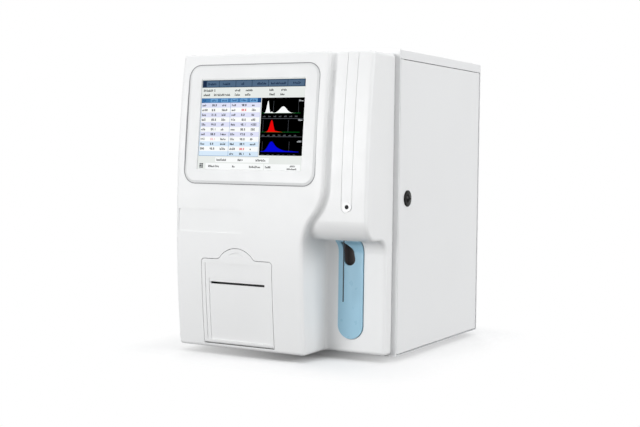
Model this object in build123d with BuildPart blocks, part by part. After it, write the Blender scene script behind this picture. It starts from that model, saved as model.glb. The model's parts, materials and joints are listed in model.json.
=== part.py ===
"""Bench-top blood cell counter for a veterinary clinic.

A sheet-metal housing with a service door on its right side carries a moulded front
with a touch screen, a printer door and an open sample bay. X runs to the viewer's
right, Y runs into the machine and Z runs up. The origin is the middle of the
footprint, at the underside of the feet.
"""
import os
from math import asin, atan, cos, degrees, pi, radians, sin, sqrt, tan

from build123d import *

# Housing
housing_width = 318.0
housing_depth = 308.0
housing_height = 428.0
sheet = 1.5
bend_round = 1.3
foot_height = 8.0
foot_radius = 15.0
foot_bevel = 1.5
foot_x = 118.0
foot_front_depth = 50.0
foot_rear_depth = 283.0
port_reach = 12.0
skirt = 12.8
lip = 15.0
corner_return = 14.5
left_screw_depths = (30.0, 154.0, 278.0)
low_screw_rise = 10.0
left_screw_drop = 22.0
rear_screw_inset = 39.0
rear_screw_drop = 8.0
mid_wall_x = -45.0
mid_wall_drop = 28.0
frame_window_width = 130.0
frame_window_height = 120.0
cable_window_width = 60.0
cable_window_height = 40.0
vent_low_rise = 70.0
vent_drop = 88.0
vent_length = 90.0
vent_width = 3.2
vent_pitch = 8.0
vent_rows = 7

# Moulded front, all of it ahead of the housing
cover_reach = 93.7
cover_side_inset = 7.5
cover_top_inset = 6.5
cover_foot_inset = 2.0
wall = 3.0
face_radius = 1475.0
apex_rise = 200.0
edge_round = 5.0
rim_gap_width = 1.8
rim_gap_depth = 2.5
boss_radius = 5.0
boss_length = 14.0
left_boss_rises = (30.0, 215.0)
left_boss_drop = 23.0
right_boss_rises = (26.0, 150.0)
right_boss_drop = 19.0

# Column, hood and sample bay on the right of the moulded front
column_setback = 11.0
column_round = 5.0
valley_round = 5.5
step_x = 91.0
step_low_rise = 150.0
step_high_rise = 240.0
bay_wall_x = 58.0
bay_depth = 20.0
bay_corner_round = 5.0
hood_rise = 162.5
hood_front_round = 28.0
hood_back_round = 20.0

# Grooves and indicator on the column
groove_width = 2.6
groove_depth = 0.8
groove_radius = 8.0
indicator_x = 121.2
indicator_rise = 210.0
ring_radius = 6.3
ring_proud = 0.8
sleeve_radius = 3.8
sleeve_length = 6.0
lens_radius = 2.9

# Bare recess for a name plate
plate_left = -146.0
plate_right = -37.5
plate_height = 32.5
plate_drop = 7.725
plate_round = 3.5
plate_depth = 1.0

# Screen
screen_x = -30.5
screen_drop = 106.5
bezel_width = 213.0
bezel_height = 168.5
bezel_round = 18.0
bezel_thickness = 2.2
bezel_sink = 1.0
bezel_gap = 1.3
bezel_bevel = 3.5
bezel_bevel_depth = 1.0
window_width = 171.4
window_height = 129.0
glass_width = 181.0
glass_height = 138.0
glass_thickness = 1.8
pad_margin = 4.0
module_width = 199.0
module_height = 149.0
module_thickness = 9.0
board_thickness = 1.6
screen_board_width = 150.0
screen_board_height = 96.0
post_radius = 3.0
post_length = 6.0
module_round = 1.0
chip_width = 24.0
chip_spread = 22.5
chip_rise = 10.0
chip_height = 3.0
ribbon_width = 50.0
ribbon_height = 6.0
ribbon_rise = -34.0

# Printer door
door_x = -48.5
door_width = 116.0
door_low_rise = 7.8
door_high_rise = 129.5
door_gap = 0.8
tab_rise = 145.7
tab_radius = 34.0
tab_blend = 9.0
shoulder_round = 4.5
notch_radius = 20.0
notch_height = 4.8
notch_top_rise = 140.2
notch_depth = 2.2
panel_width = 105.5
panel_high_rise = 123.5
panel_depth = 1.2
chute_width = 94.0
chute_high_rise = 101.7
chute_depth = 2.2
slot_width = 90.0
slot_rise = 95.5
slot_height = 3.2
door_lip = 5.0
door_backing = 2.0
door_barrel_radius = 4.0
door_pin_radius = 1.5
door_pin_reach = 10.0
ear_width = 6.0
ear_height = 6.0
bite = 1.0

# Printer
bucket_width = 99.0
bucket_wall = 2.0
bucket_low_rise = 22.0
bucket_high_rise = 120.0
bucket_reach = 76.0
paper_width = 79.5
paper_radius = 25.0
paper_reach = 38.0
paper_rise = 56.0
spindle_radius = 6.0
platen_width = 84.0
platen_radius = 6.0
platen_reach = 69.0
platen_rise = 94.0
platen_shaft_radius = 2.5
head_thickness = 6.0
head_height = 18.0
gear_thickness = 3.5
gear_tooth = 0.8
platen_gear_radius = 9.0
platen_gear_teeth = 24
motor_gear_radius = 4.5
motor_gear_teeth = 12
motor_gap = 2.0
motor_radius = 10.0
motor_length = 14.0
motor_shaft_radius = 1.5
bracket_inset = 4.0

# Aspirate key
key_x = 97.5
key_width = 38.5
key_low_rise = 22.0
key_thickness = 3.0
key_proud = 2.0
key_gap = 0.8
key_front_reach = 34.0
key_end_round = 2.5
key_slot_radius = 9.0
key_slot_left = 2.1
key_slot_rise = 134.0
key_slot_waist_radius = 8.2
key_slot_waist_left = 3.3
key_slot_waist_rise = 143.5
key_slot_tip_radius = 2.5
key_slot_tip_left = 10.0
key_slot_tip_rise = 156.8
key_pivot_rise = 150.0
key_pivot_reach = 12.0
key_pivot_radius = 1.5
key_boss_radius = 4.0
key_ear_trim = 1.0
key_ear = 3.0
key_ear_inset = 2.3
key_bracket_low_rise = 28.0
key_bracket_high_rise = 166.0
key_plate = 3.0
key_switch_rise = 44.0
key_switch_width = 16.0
key_switch_height = 20.0
key_switch_reach = 14.0
switch_tip_radius = 1.5
switch_tip_length = 3.0
well_width = 26.0
well_low_rise = 114.0
well_reach = 17.0
well_wall = 1.5

# Probe unit
probe_x = 97.0
probe_reach = 43.0
probe_radius = 0.9
probe_bore = 0.45
probe_hole_radius = 4.0
probe_tip_rise = 76.5
probe_length = 198.5
carrier_rise = 240.0
carrier_height = 22.0
carrier_thickness = 20.0
carrier_margin = 8.0
nose_width = 10.0
nose_height = 12.0
nose_reach = 6.0
rod_radius = 3.0
rod_spread = 17.0
rod_reach = 20.0
screw_radius = 3.0
journal_radius = 2.0
probe_plate = 4.0
probe_frame_width = 54.0
probe_low_rise = 168.0
probe_drop = 32.0
probe_motor_width = 28.0
probe_motor_height = 20.0
probe_motor_round = 3.0
rinse_width = 14.0
rinse_depth = 12.0
rinse_height = 14.0

# Side door and its lock
door_clear = 1.0
door_front_depth = 2.2
door_rear_gap = 0.8
door_return = 12.0
hinge_radius = 4.0
hinge_pin_radius = 1.5
hinge_pin_length = 7.0
lock_depth = 29.5
lock_rise = 219.8
lock_head_radius = 11.6
lock_head_proud = 1.7
lock_head_round = 0.8
lock_body_radius = 9.5
lock_nut_radius = 13.0
lock_nut_thickness = 3.0
lock_plug_radius = 7.0
lock_plug_proud = 0.5
cam_length = 22.0
cam_width = 12.0
cam_thickness = 2.0

# Fan
fan_x = -100.0
fan_drop = 98.0
fan_width = 80.0
fan_depth = 25.0
fan_bore_radius = 37.5
fan_hub_radius = 16.0
blade_tip_gap = 1.0
fan_shaft_radius = 2.0
fan_blades = 7
blade_thickness = 1.2
spider_thickness = 3.0
spider_arms = 3
blade_pitch = 35.0
corner_round = 4.0
grille_rows = 8
grille_slot = 3.8

# Rear connections
spigot_radius = 3.0
spigot_bore = 1.5
spigot_rise = 60.0
spigot_xs = (62.0, 84.0, 106.0, 128.0)
inlet_x = -118.0
inlet_rise = 36.0
rocker_x = -78.0
rocker_radius = 8.8
rocker_width = 11.0
rocker_tilt = 10.0
rocker_pin_radius = 1.2
rocker_crown = 1.5
rocker_body_width = 16.0
rocker_body_height = 22.0
rocker_depth = 14.0
inlet_width = 27.0
inlet_height = 20.0
inlet_depth = 20.0
inlet_flange = 9.0
blade_height = 4.0
blade_places = ((-7.0, -2.0), (0.0, 2.0), (7.0, -2.0))
flange = 2.0
stud_x = -48.0
stud_radius = 2.5
port_rise = 300.0
port_depth = 12.0
port_shells = ((20.0, 16.0, 13.0), (45.0, 14.0, 15.0), (72.0, 31.0, 12.5))

# Electronics and fluids inside
main_post_length = 8.0
main_depths = (60.0, 240.0)
main_low_rise = 120.0
main_drop = 58.0
main_post_inset = 10.0
sink_depths = (90.0, 130.0)
sink_rises = (180.0, 230.0)
sink_thickness = 18.0
capacitor_depths = (160.0, 180.0, 200.0)
capacitor_rise = 200.0
capacitor_radius = 8.0
capacitor_length = 22.0
header_depths = (90.0, 210.0)
header_rises = (260.0, 310.0)
header_thickness = 12.0
header_height = 9.0
supply_inset = 11.0
supply_wall_gap = 15.0
supply_height = 60.0
supply_depths = (170.0, 285.0)
supply_round = 2.0
valve_drop = 75.0
valve_start = 60.0
valve_pitch = 29.0
valve_width = 18.0
valve_length = 26.0
valve_count = 8
valve_cap_radius = 6.0
valve_cap_length = 4.0
manifold_depth = 20.0
manifold_margin = 18.0
manifold_height = 26.0
syringe_depth = 230.0
barrel_x = -18.0
barrel_spread = 20.0
barrel_radius = 9.0
barrel_bore = 7.0
barrel_drop = 123.0
barrel_height = 80.0
plunger_rod_radius = 3.0
plunger_head = 8.0
plunger_head_rise = 10.0
crossbar_drop = 60.0
crossbar_height = 10.0
unit_drop = 90.0
unit_foot_width = 20.0
unit_margin = 2.0
rod_clearance = 1.0
unit_plate = 8.0
bath_x = 4.0
bath_depths = (70.0, 128.0)
bath_rise = 250.0
bath_radius = 20.0
bath_height = 46.0
bath_wall = 2.0
bath_floor = 3.0
bath_rim = 4.0
bath_rim_height = 3.0
bath_drain_radius = 4.0
bath_drain_length = 10.0
shelf_margin = 30.0
shelf_reach = 8.0
shelf_height = 60.0
chamber_x = 96.0
chamber_depth = 62.0
chamber_radius = 28.0
chamber_height = 110.0
chamber_lid_rim = 2.0
chamber_lid_height = 6.0
chamber_neck_radius = 5.0
chamber_neck_height = 10.0
pump_xs = (30.0, 95.0)
pump_width = 44.0
pump_depth = 190.0
pump_base_length = 70.0
pump_base_height = 6.0
pump_head_length = 30.0
pump_motor_radius = 20.0
pump_motor_length = 40.0

# Clearances
running = 0.05
snug = 0.1
seat = 0.3

# Screws
screw_head_radius = 3.2
screw_head_height = 1.8
shank_radius = 1.5
screw_length = 6.0

# Places worked out from the sizes above
front_y = -(housing_depth + port_reach - cover_reach) / 2
rear_y = front_y + housing_depth
half_width = housing_width / 2
base_z = foot_height
top_z = base_z + housing_height
cover_half = half_width - cover_side_inset
cover_low = base_z + cover_foot_inset
cover_high = top_z - cover_top_inset
apex_y = front_y - cover_reach
apex_z = base_z + apex_rise
screen_rise = housing_height - screen_drop
plate_rise = (tab_rise + screen_rise - bezel_height / 2) / 2 - plate_drop
fan_rise = housing_height - fan_drop
valve_rise = housing_height - valve_drop
barrel_rise = valve_rise - barrel_drop
vent_rises = (vent_low_rise, housing_height - vent_drop)
bay_y = front_y - bay_depth
hood_z = base_z + hood_rise
screw_hole = shank_radius + snug

os.makedirs("parts", exist_ok=True)


def finish(builder, name):
    """Label a finished piece and write it."""
    builder.part.label = name
    export_step(builder.part, f"parts/{name}.step")


def up(rise):
    """Height of a level above the housing's underside."""
    return base_z + rise


def ahead(reach):
    """Y of a plane in front of the housing."""
    return front_y - reach


def within(depth):
    """Y of a plane behind the housing's front."""
    return front_y + depth


def about(middle, width):
    """Limits of a width laid about its middle."""
    return (middle - width / 2, middle + width / 2)


def span(one, other):
    """Two limits in rising order."""
    return (min(one, other), max(one, other))


def block(x, y, z, mode=Mode.ADD):
    """Box between two limits on each axis."""
    with Locations((sum(x) / 2, sum(y) / 2, sum(z) / 2)):
        Box(x[1] - x[0], y[1] - y[0], z[1] - z[0], mode=mode)


def rod(start, direction, radius, length, mode=Mode.ADD):
    """Round bar from a point along a direction."""
    with BuildSketch(Plane(start, z_dir=direction)) as end:
        Circle(radius)
    extrude(end.sketch, amount=length, mode=mode)


def edges_near(builder, x, y, z):
    """Edges whose middles lie within limits on each axis."""
    found = builder.edges().filter_by_position(Axis.X, *x)
    return found.filter_by_position(Axis.Y, *y).filter_by_position(Axis.Z, *z)


def face_y(z, back=0.0):
    """Y of the bowed front at height z, moved back."""
    return apex_y + back + face_radius - sqrt(face_radius**2 - (z - apex_z) ** 2)


def face_arc(start, end, back):
    """Side view of the bowed front between two heights, moved back."""
    middle = (start + end) / 2
    ThreePointArc((face_y(start, back), start), (face_y(middle, back), middle), (face_y(end, back), end))


def face_layer(low, high, outer, inner):
    """Full-width layer between two depths behind the bowed front."""
    with BuildSketch(Plane.YZ) as side:
        with BuildLine():
            face_arc(low, high, outer)
            Line((face_y(high, outer), high), (face_y(high, inner), high))
            face_arc(high, low, inner)
            Line((face_y(low, inner), low), (face_y(low, outer), low))
        make_face()
    extrude(side.sketch, amount=half_width, both=True)


def front_view(mode=Mode.INTERSECT):
    """Carry the front-view outline just drawn through the whole depth."""
    extrude(amount=housing_depth, both=True, mode=mode)


# Front cover
def block_outline(inset):
    """Side view of the bowed block, drawn in by the inset."""
    low = cover_low + inset
    high = cover_high - inset
    Polyline((face_y(low, inset), low), (front_y, low), (front_y, high), (face_y(high, inset), high))
    face_arc(high, low, inset)


def step_outline(inset):
    """Front view of the bowed block, whose right side swings in above the bay in an S."""
    low_x = bay_wall_x - inset
    high_x = step_x - inset
    low_z = up(step_low_rise)
    high_z = up(step_high_rise)
    left = -half_width
    Polyline((high_x, high_z), (high_x, top_z), (left, top_z), (left, 0), (low_x, 0), (low_x, low_z))
    lower = TangentArc((low_x, low_z), ((low_x + high_x) / 2, (low_z + high_z) / 2), tangent=(0, 1))
    TangentArc(lower @ 1, (high_x, high_z), tangent=lower % 1)


def column_outline(inset):
    """Side view of the column with its hood and the bay's back wall, drawn in by the inset."""
    low = cover_low + inset
    high = cover_high - inset
    back = column_setback + inset
    nose = hood_front_round - inset
    cove = hood_back_round + inset
    nose_z = hood_z + hood_front_round
    nose_y = face_y(nose_z, back)
    under = hood_z + inset
    wall_y = bay_y + inset
    diagonal = sqrt(0.5)
    Polyline((wall_y, low), (front_y, low), (front_y, high), (face_y(high, back), high))
    face_arc(high, nose_z, back)
    ThreePointArc(
        (nose_y, nose_z),
        (nose_y + nose * (1 - diagonal), nose_z - nose * diagonal),
        (nose_y + nose, under),
    )
    Line((nose_y + nose, under), (wall_y - cove, under))
    ThreePointArc(
        (wall_y - cove, under),
        (wall_y - cove * (1 - diagonal), under - cove * (1 - diagonal)),
        (wall_y, under - cove),
    )
    Line((wall_y, under - cove), (wall_y, low))


def front_body(inset):
    """Bowed block and column as one body, drawn in by the inset."""
    with BuildSketch(Plane.YZ) as side:
        with BuildLine():
            block_outline(inset)
        make_face()
    extrude(side.sketch, amount=cover_half - inset, both=True)
    with BuildSketch(Plane.XZ) as front:
        with BuildLine():
            step_outline(inset)
        make_face()
    extrude(front.sketch, amount=housing_depth, both=True, mode=Mode.INTERSECT)
    left = bay_wall_x - 2 * wall - inset
    with BuildSketch(Plane.YZ.offset(left)) as column:
        with BuildLine():
            column_outline(inset)
        make_face()
    extrude(column.sketch, amount=cover_half - inset - left)


def bay_corner():
    """Concave corner between the bay's left wall and its back wall."""
    near = bay_corner_round * (1 - sqrt(0.5))
    with BuildSketch(Plane.XY.offset(cover_low)) as corner:
        with BuildLine():
            Polyline(
                (bay_wall_x, bay_y - bay_corner_round),
                (bay_wall_x, bay_y),
                (bay_wall_x + bay_corner_round, bay_y),
            )
            ThreePointArc(
                (bay_wall_x + bay_corner_round, bay_y),
                (bay_wall_x + near, bay_y - near),
                (bay_wall_x, bay_y - bay_corner_round),
            )
        make_face()
    extrude(corner.sketch, amount=hood_z - cover_low)


def door_outline(grow):
    """Front view of the printer door, with its shoulders and finger tab."""
    width = door_width + 2 * grow
    low = up(door_low_rise) - grow
    high = up(door_high_rise) + grow
    with Locations((door_x, (low + high) / 2)):
        Rectangle(width, high - low)
    with Locations((door_x, up(tab_rise) - tab_radius)):
        Circle(tab_radius + grow)
    level = vertices().filter_by_position(Axis.Y, high - snug, high + snug).sort_by(Axis.X)
    fillet(level[1:-1], tab_blend - grow)
    level = vertices().filter_by_position(Axis.Y, high - snug, high + snug).sort_by(Axis.X)
    fillet([level[0], level[-1]], shoulder_round + grow)


def key_opening(grow):
    """Keep the aspirate key's outline: a round foot below, a square end under the hood."""
    width = key_width + 2 * grow
    foot_z = up(key_low_rise) + key_width / 2
    with BuildSketch(Plane.XZ) as front:
        with Locations((key_x, foot_z)):
            Circle(width / 2)
            Rectangle(width, housing_height, align=(Align.CENTER, Align.MIN))
    extrude(front.sketch, amount=housing_depth, both=True, mode=Mode.INTERSECT)
    with BuildSketch(Plane.XY) as plan:
        with Locations((key_x, ahead(key_front_reach) - grow)):
            Rectangle(width, housing_depth, align=(Align.CENTER, Align.MIN))
        fillet(vertices().group_by(Axis.Y)[0], key_end_round)
    extrude(plan.sketch, amount=top_z, mode=Mode.INTERSECT)


screen_slope = asin((screen_rise - apex_rise) / face_radius)
screen_plane = Plane(
    origin=(screen_x, face_y(up(screen_rise)), up(screen_rise)),
    x_dir=(1, 0, 0),
    z_dir=(0, -cos(screen_slope), sin(screen_slope)),
)
bezel_back = -bezel_sink - bezel_thickness
glass_back = bezel_back - snug - glass_thickness
pad_back = glass_back - snug

door_axis_z = up(door_low_rise) + door_barrel_radius
door_axis_y = face_y(door_axis_z) + door_barrel_radius
ear_start = door_width / 2 + door_gap + seat

boss_x = cover_half - boss_radius - wall + bite
boss_places = [(-boss_x, up(rise)) for rise in (*left_boss_rises, housing_height - left_boss_drop)]
boss_places += [(boss_x, up(rise)) for rise in (*right_boss_rises, housing_height - right_boss_drop)]

with BuildPart() as front_cavity:
    front_body(wall)

with BuildPart() as name_recess:
    face_layer(cover_low, cover_high, -wall, plate_depth)
    with BuildSketch(Plane.XZ):
        with Locations(((plate_left + plate_right) / 2, up(plate_rise))):
            RectangleRounded(plate_right - plate_left, plate_height, plate_round)
    front_view()

with BuildPart() as groove_tool:
    face_layer(up(indicator_rise) - hood_front_round, top_z, 0, column_setback + groove_depth)
    with BuildSketch(Plane.XZ):
        with Locations((indicator_x, up(indicator_rise))):
            Circle(groove_radius + groove_width / 2)
            Rectangle(
                2 * groove_radius + groove_width,
                housing_height,
                align=(Align.CENTER, Align.MIN),
            )
            Circle(groove_radius - groove_width / 2, mode=Mode.SUBTRACT)
            Rectangle(
                2 * groove_radius - groove_width,
                housing_height,
                align=(Align.CENTER, Align.MIN),
                mode=Mode.SUBTRACT,
            )
    front_view()

with BuildPart() as rim_gap:
    block((-half_width, half_width), (ahead(rim_gap_depth), front_y), (base_z, top_z))
    with BuildSketch(Plane.XZ):
        with Locations((0, (cover_low + cover_high) / 2)):
            RectangleRounded(
                2 * (cover_half - rim_gap_width),
                cover_high - cover_low - 2 * rim_gap_width,
                edge_round - rim_gap_width,
            )
    front_view(mode=Mode.SUBTRACT)

with BuildPart() as key_space:
    block(
        about(key_x, 2 * key_width),
        (ahead(2 * key_front_reach), bay_y + wall + snug),
        (base_z, hood_z + wall + snug),
    )
    key_opening(key_gap)

with BuildPart() as front_cover:
    front_body(0)
    bay_corner()
    column_y = face_y(hood_z + hood_front_round, column_setback)
    fillet(
        edges_near(
            front_cover,
            (bay_wall_x + snug, step_x + snug),
            (column_y - snug, bay_y - bay_corner_round),
            (hood_z - wall, cover_high - snug),
        ),
        valley_round,
    )
    fillet(
        edges_near(
            front_cover,
            (cover_half - snug, cover_half + snug),
            (column_y - snug, bay_y + snug),
            (cover_low + snug, cover_high - snug),
        ),
        column_round,
    )
    everywhere = (-half_width, half_width)
    outer_y = (apex_y - snug, front_y - snug)
    low_edges = edges_near(front_cover, everywhere, outer_y, (cover_low - snug, cover_low + snug))
    high_edges = edges_near(front_cover, everywhere, outer_y, (cover_high - snug, cover_high + snug))
    front_edges = edges_near(
        front_cover,
        everywhere,
        (apex_y - snug, apex_y + column_setback / 2),
        (cover_low + snug, cover_high - snug),
    )
    standing = [edge for edge in front_edges if edge.bounding_box().size.Z > edge_round]
    fillet(low_edges + high_edges + standing, edge_round)
    add(front_cavity.part, mode=Mode.SUBTRACT)
    add(name_recess.part, mode=Mode.SUBTRACT)
    add(groove_tool.part, mode=Mode.SUBTRACT)
    add(rim_gap.part, mode=Mode.SUBTRACT)
    add(key_space.part, mode=Mode.SUBTRACT)
    # Screen pad, its pocket and the opening behind the glass
    with BuildSketch(screen_plane.offset(pad_back)):
        RectangleRounded(
            bezel_width + 2 * (bezel_gap + pad_margin),
            bezel_height + 2 * (bezel_gap + pad_margin),
            bezel_round + bezel_gap + pad_margin,
        )
    extrude(amount=-pad_back - wall)
    with BuildSketch(screen_plane.offset(bezel_back)):
        RectangleRounded(
            bezel_width + 2 * bezel_gap,
            bezel_height + 2 * bezel_gap,
            bezel_round + bezel_gap,
        )
    extrude(amount=2 * wall, mode=Mode.SUBTRACT)
    with BuildSketch(screen_plane.offset(pad_back - wall)):
        Rectangle(glass_width + 2 * snug, glass_height + 2 * snug)
    extrude(amount=3 * wall, mode=Mode.SUBTRACT)
    # Opening of the printer door
    with BuildSketch(Plane.XZ.offset(-ahead(cover_reach / 2))):
        door_outline(door_gap)
    extrude(amount=cover_reach, mode=Mode.SUBTRACT)
    # Ears that carry the printer door's pins
    for side in (-1, 1):
        near = door_x + side * ear_start
        block(
            span(near, near + side * ear_width),
            (face_y(door_axis_z) + wall - bite, door_axis_y + ear_height),
            (cover_low + wall - bite, door_axis_z + ear_height),
        )
        start = (near - side * bite, door_axis_y, door_axis_z)
        rod(start, (side, 0, 0), door_pin_radius + running, ear_width + 2 * bite, mode=Mode.SUBTRACT)
    # Hole of the indicator
    rod(
        (indicator_x, apex_y, up(indicator_rise)),
        (0, 1, 0),
        sleeve_radius + snug,
        column_setback + 2 * wall,
        mode=Mode.SUBTRACT,
    )
    # Hole in the hood's underside that the probe passes through
    rod(
        (probe_x, ahead(probe_reach), hood_z - snug),
        (0, 0, 1),
        probe_hole_radius,
        wall + 2 * snug,
        mode=Mode.SUBTRACT,
    )
    # Screw bosses
    for x, z in boss_places:
        rod((x, front_y, z), (0, -1, 0), boss_radius, boss_length)
        rod((x, front_y, z), (0, -1, 0), screw_hole, boss_length - wall, mode=Mode.SUBTRACT)
finish(front_cover, "front_cover")

# Screen
with BuildPart() as bezel:
    bevel_start = -bezel_sink - bezel_bevel_depth
    with BuildSketch(screen_plane.offset(bezel_back)):
        RectangleRounded(bezel_width, bezel_height, bezel_round)
    extrude(amount=bevel_start - bezel_back)
    with BuildSketch(screen_plane.offset(bevel_start)):
        RectangleRounded(bezel_width, bezel_height, bezel_round)
    extrude(amount=bezel_bevel_depth, taper=degrees(atan(bezel_bevel / bezel_bevel_depth)))
    with BuildSketch(screen_plane.offset(bezel_back)):
        Rectangle(window_width, window_height)
    extrude(amount=bezel_thickness, mode=Mode.SUBTRACT)
finish(bezel, "bezel")


def screen_slab(width, height, back, front):
    """Rectangular slab parallel to the screen."""
    with BuildSketch(screen_plane.offset(back)) as slab:
        Rectangle(width, height)
    extrude(slab.sketch, amount=front - back)


with BuildPart() as display_glass:
    screen_slab(glass_width, glass_height, glass_back, glass_back + glass_thickness)
finish(display_glass, "display_glass")

module_back = pad_back - snug - module_thickness
with BuildPart() as display_module:
    screen_slab(module_width, module_height, module_back, module_back + module_thickness)
    fillet(display_module.edges().filter_by(Axis.X), module_round)
finish(display_module, "display_module")

screen_board_back = module_back - post_length - board_thickness
with BuildPart() as display_board:
    screen_slab(
        screen_board_width,
        screen_board_height,
        screen_board_back,
        screen_board_back + board_thickness,
    )
    with BuildSketch(screen_plane.offset(screen_board_back + board_thickness)):
        across = screen_board_width - 4 * post_radius
        tall = screen_board_height - 4 * post_radius
        with GridLocations(across, tall, 2, 2):
            Circle(post_radius)
    extrude(amount=post_length)
    # Two chips and a ribbon socket on the back
    with BuildSketch(screen_plane.offset(screen_board_back)):
        with Locations((-chip_spread, chip_rise), (chip_spread, chip_rise)):
            Rectangle(chip_width, chip_width)
        with Locations((0, ribbon_rise)):
            Rectangle(ribbon_width, ribbon_height)
    extrude(amount=-chip_height)
finish(display_board, "display_board")

# Indicator
indicator_y = face_y(up(indicator_rise), column_setback) - snug
with BuildPart() as indicator_ring:
    start = (indicator_x, indicator_y - ring_proud, up(indicator_rise))
    rod(start, (0, 1, 0), ring_radius, ring_proud)
    rod(start, (0, 1, 0), sleeve_radius, ring_proud + sleeve_length)
    rod(start, (0, 1, 0), lens_radius + snug, ring_proud + sleeve_length, mode=Mode.SUBTRACT)
finish(indicator_ring, "indicator_ring")

with BuildPart() as indicator_lens:
    rod(start, (0, 1, 0), lens_radius, ring_proud + sleeve_length)
finish(indicator_lens, "indicator_lens")

# Aspirate key
key_front_y = bay_y - key_proud
key_back_y = key_front_y + key_thickness
cove_y = bay_y - hood_back_round
cove_z = hood_z - hood_back_round
key_pivot = (ahead(key_pivot_reach), up(key_pivot_rise))
key_front_round = hood_back_round - key_proud
key_back_round = key_front_round + key_thickness
key_ear_x = key_width / 2 - key_ear_inset - key_ear / 2

with BuildPart() as key_slot:
    # Drop shape that leans to the left as it runs up onto the curve
    with BuildSketch(Plane.XZ.offset(-key_back_y)):
        with Locations((key_x - key_slot_left, up(key_slot_rise))):
            Circle(key_slot_radius)
        with Locations((key_x - key_slot_waist_left, up(key_slot_waist_rise))):
            Circle(key_slot_waist_radius)
        with Locations((key_x - key_slot_tip_left, up(key_slot_tip_rise))):
            Circle(key_slot_tip_radius)
        make_hull()
    extrude(amount=key_front_reach, both=True)

with BuildPart() as aspirate_key:
    # Ears behind the curved top, with the pivot bores
    for side in (-1, 1):
        ear_x = about(key_x + side * key_ear_x, key_ear)
        block(ear_x, (key_front_y - key_ear, key_pivot[0]), (cove_z, key_pivot[1] + key_boss_radius))
        rod((ear_x[0], *key_pivot), (1, 0, 0), key_boss_radius, key_ear)
    rod(
        (key_x - key_width / 2, cove_y, cove_z),
        (1, 0, 0),
        key_front_round + key_ear_trim,
        key_width,
        mode=Mode.SUBTRACT,
    )
    rod(
        (key_x - key_width / 2, *key_pivot),
        (1, 0, 0),
        key_pivot_radius + running,
        key_width,
        mode=Mode.SUBTRACT,
    )
    # Plate that runs up the wall and turns forward under the hood
    with BuildSketch(Plane.YZ.offset(key_x)):
        with BuildLine():
            Line((key_front_y, base_z), (key_front_y, cove_z))
            CenterArc((cove_y, cove_z), key_front_round, 0, 90)
            Line((cove_y, cove_z + key_front_round), (cove_y, cove_z + key_back_round))
            CenterArc((cove_y, cove_z), key_back_round, 0, 90)
            Polyline((key_back_y, cove_z), (key_back_y, base_z), (key_front_y, base_z))
        make_face()
    extrude(amount=key_width / 2, both=True)
    key_opening(0)
    add(key_slot.part, mode=Mode.SUBTRACT)
finish(aspirate_key, "aspirate_key")

key_arm_x = key_ear_x + key_ear / 2 + seat
with BuildPart() as key_bracket:
    bracket_z = (up(key_bracket_low_rise), up(key_bracket_high_rise))
    block(about(key_x, 2 * (key_arm_x + key_ear)), (ahead(key_plate), front_y), bracket_z)
    for side in (-1, 1):
        near = key_x + side * key_arm_x
        block(
            span(near, near + side * key_ear),
            (key_pivot[0] - key_boss_radius, front_y),
            about(key_pivot[1], 3 * key_boss_radius),
        )
        rod((near, *key_pivot), (-side, 0, 0), key_pivot_radius, seat + key_ear)
finish(key_bracket, "key_bracket")

with BuildPart() as key_switch:
    block(
        about(key_x, key_switch_width),
        (ahead(key_switch_reach), ahead(key_plate)),
        about(up(key_switch_rise), key_switch_height),
    )
    tip = (key_x, ahead(key_switch_reach), up(key_switch_rise))
    rod(tip, (0, -1, 0), switch_tip_radius, switch_tip_length)
finish(key_switch, "key_switch")

with BuildPart() as probe_well:
    well_y = (ahead(well_reach), ahead(key_plate))
    well_z = (up(well_low_rise), up(key_bracket_high_rise))
    block(about(key_x, well_width), well_y, well_z)
    block(
        about(key_x, well_width - 2 * well_wall),
        (well_y[0], well_y[1] - well_wall),
        (well_z[0] + well_wall, well_z[1] - well_wall),
        mode=Mode.SUBTRACT,
    )
finish(probe_well, "probe_well")

# Printer door
with BuildPart() as door_panel:
    face_layer(cover_low, cover_high, -wall, panel_depth)
    block(
        about(door_x, panel_width),
        (apex_y - wall, front_y),
        (up(door_low_rise + door_lip), up(panel_high_rise)),
        mode=Mode.INTERSECT,
    )

with BuildPart() as door_chute:
    face_layer(cover_low, cover_high, -wall, chute_depth)
    block(
        about(door_x, chute_width),
        (apex_y - wall, front_y),
        (up(door_low_rise + door_lip), up(chute_high_rise)),
        mode=Mode.INTERSECT,
    )

notch_low_z = up(notch_top_rise - notch_height)
notch_high_z = up(notch_top_rise)
with BuildPart() as finger_notch:
    with BuildSketch(Plane.YZ.offset(door_x)):
        Polygon(
            (face_y(notch_low_z), notch_low_z),
            (face_y(notch_high_z) + notch_depth, notch_high_z),
            (face_y(notch_high_z) - wall, notch_high_z),
            (face_y(notch_low_z) - wall, notch_low_z),
            align=None,
        )
    extrude(amount=notch_radius, both=True)
    with BuildSketch(Plane.XZ):
        with Locations((door_x, notch_high_z - notch_radius)):
            Circle(notch_radius)
    front_view()

with BuildPart() as door_back:
    low = up(door_low_rise + door_lip)
    face_layer(low, up(chute_high_rise) + door_lip, wall - snug, wall + door_backing)
    block(
        about(door_x, panel_width),
        (apex_y, front_y),
        (base_z, top_z),
        mode=Mode.INTERSECT,
    )

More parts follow.
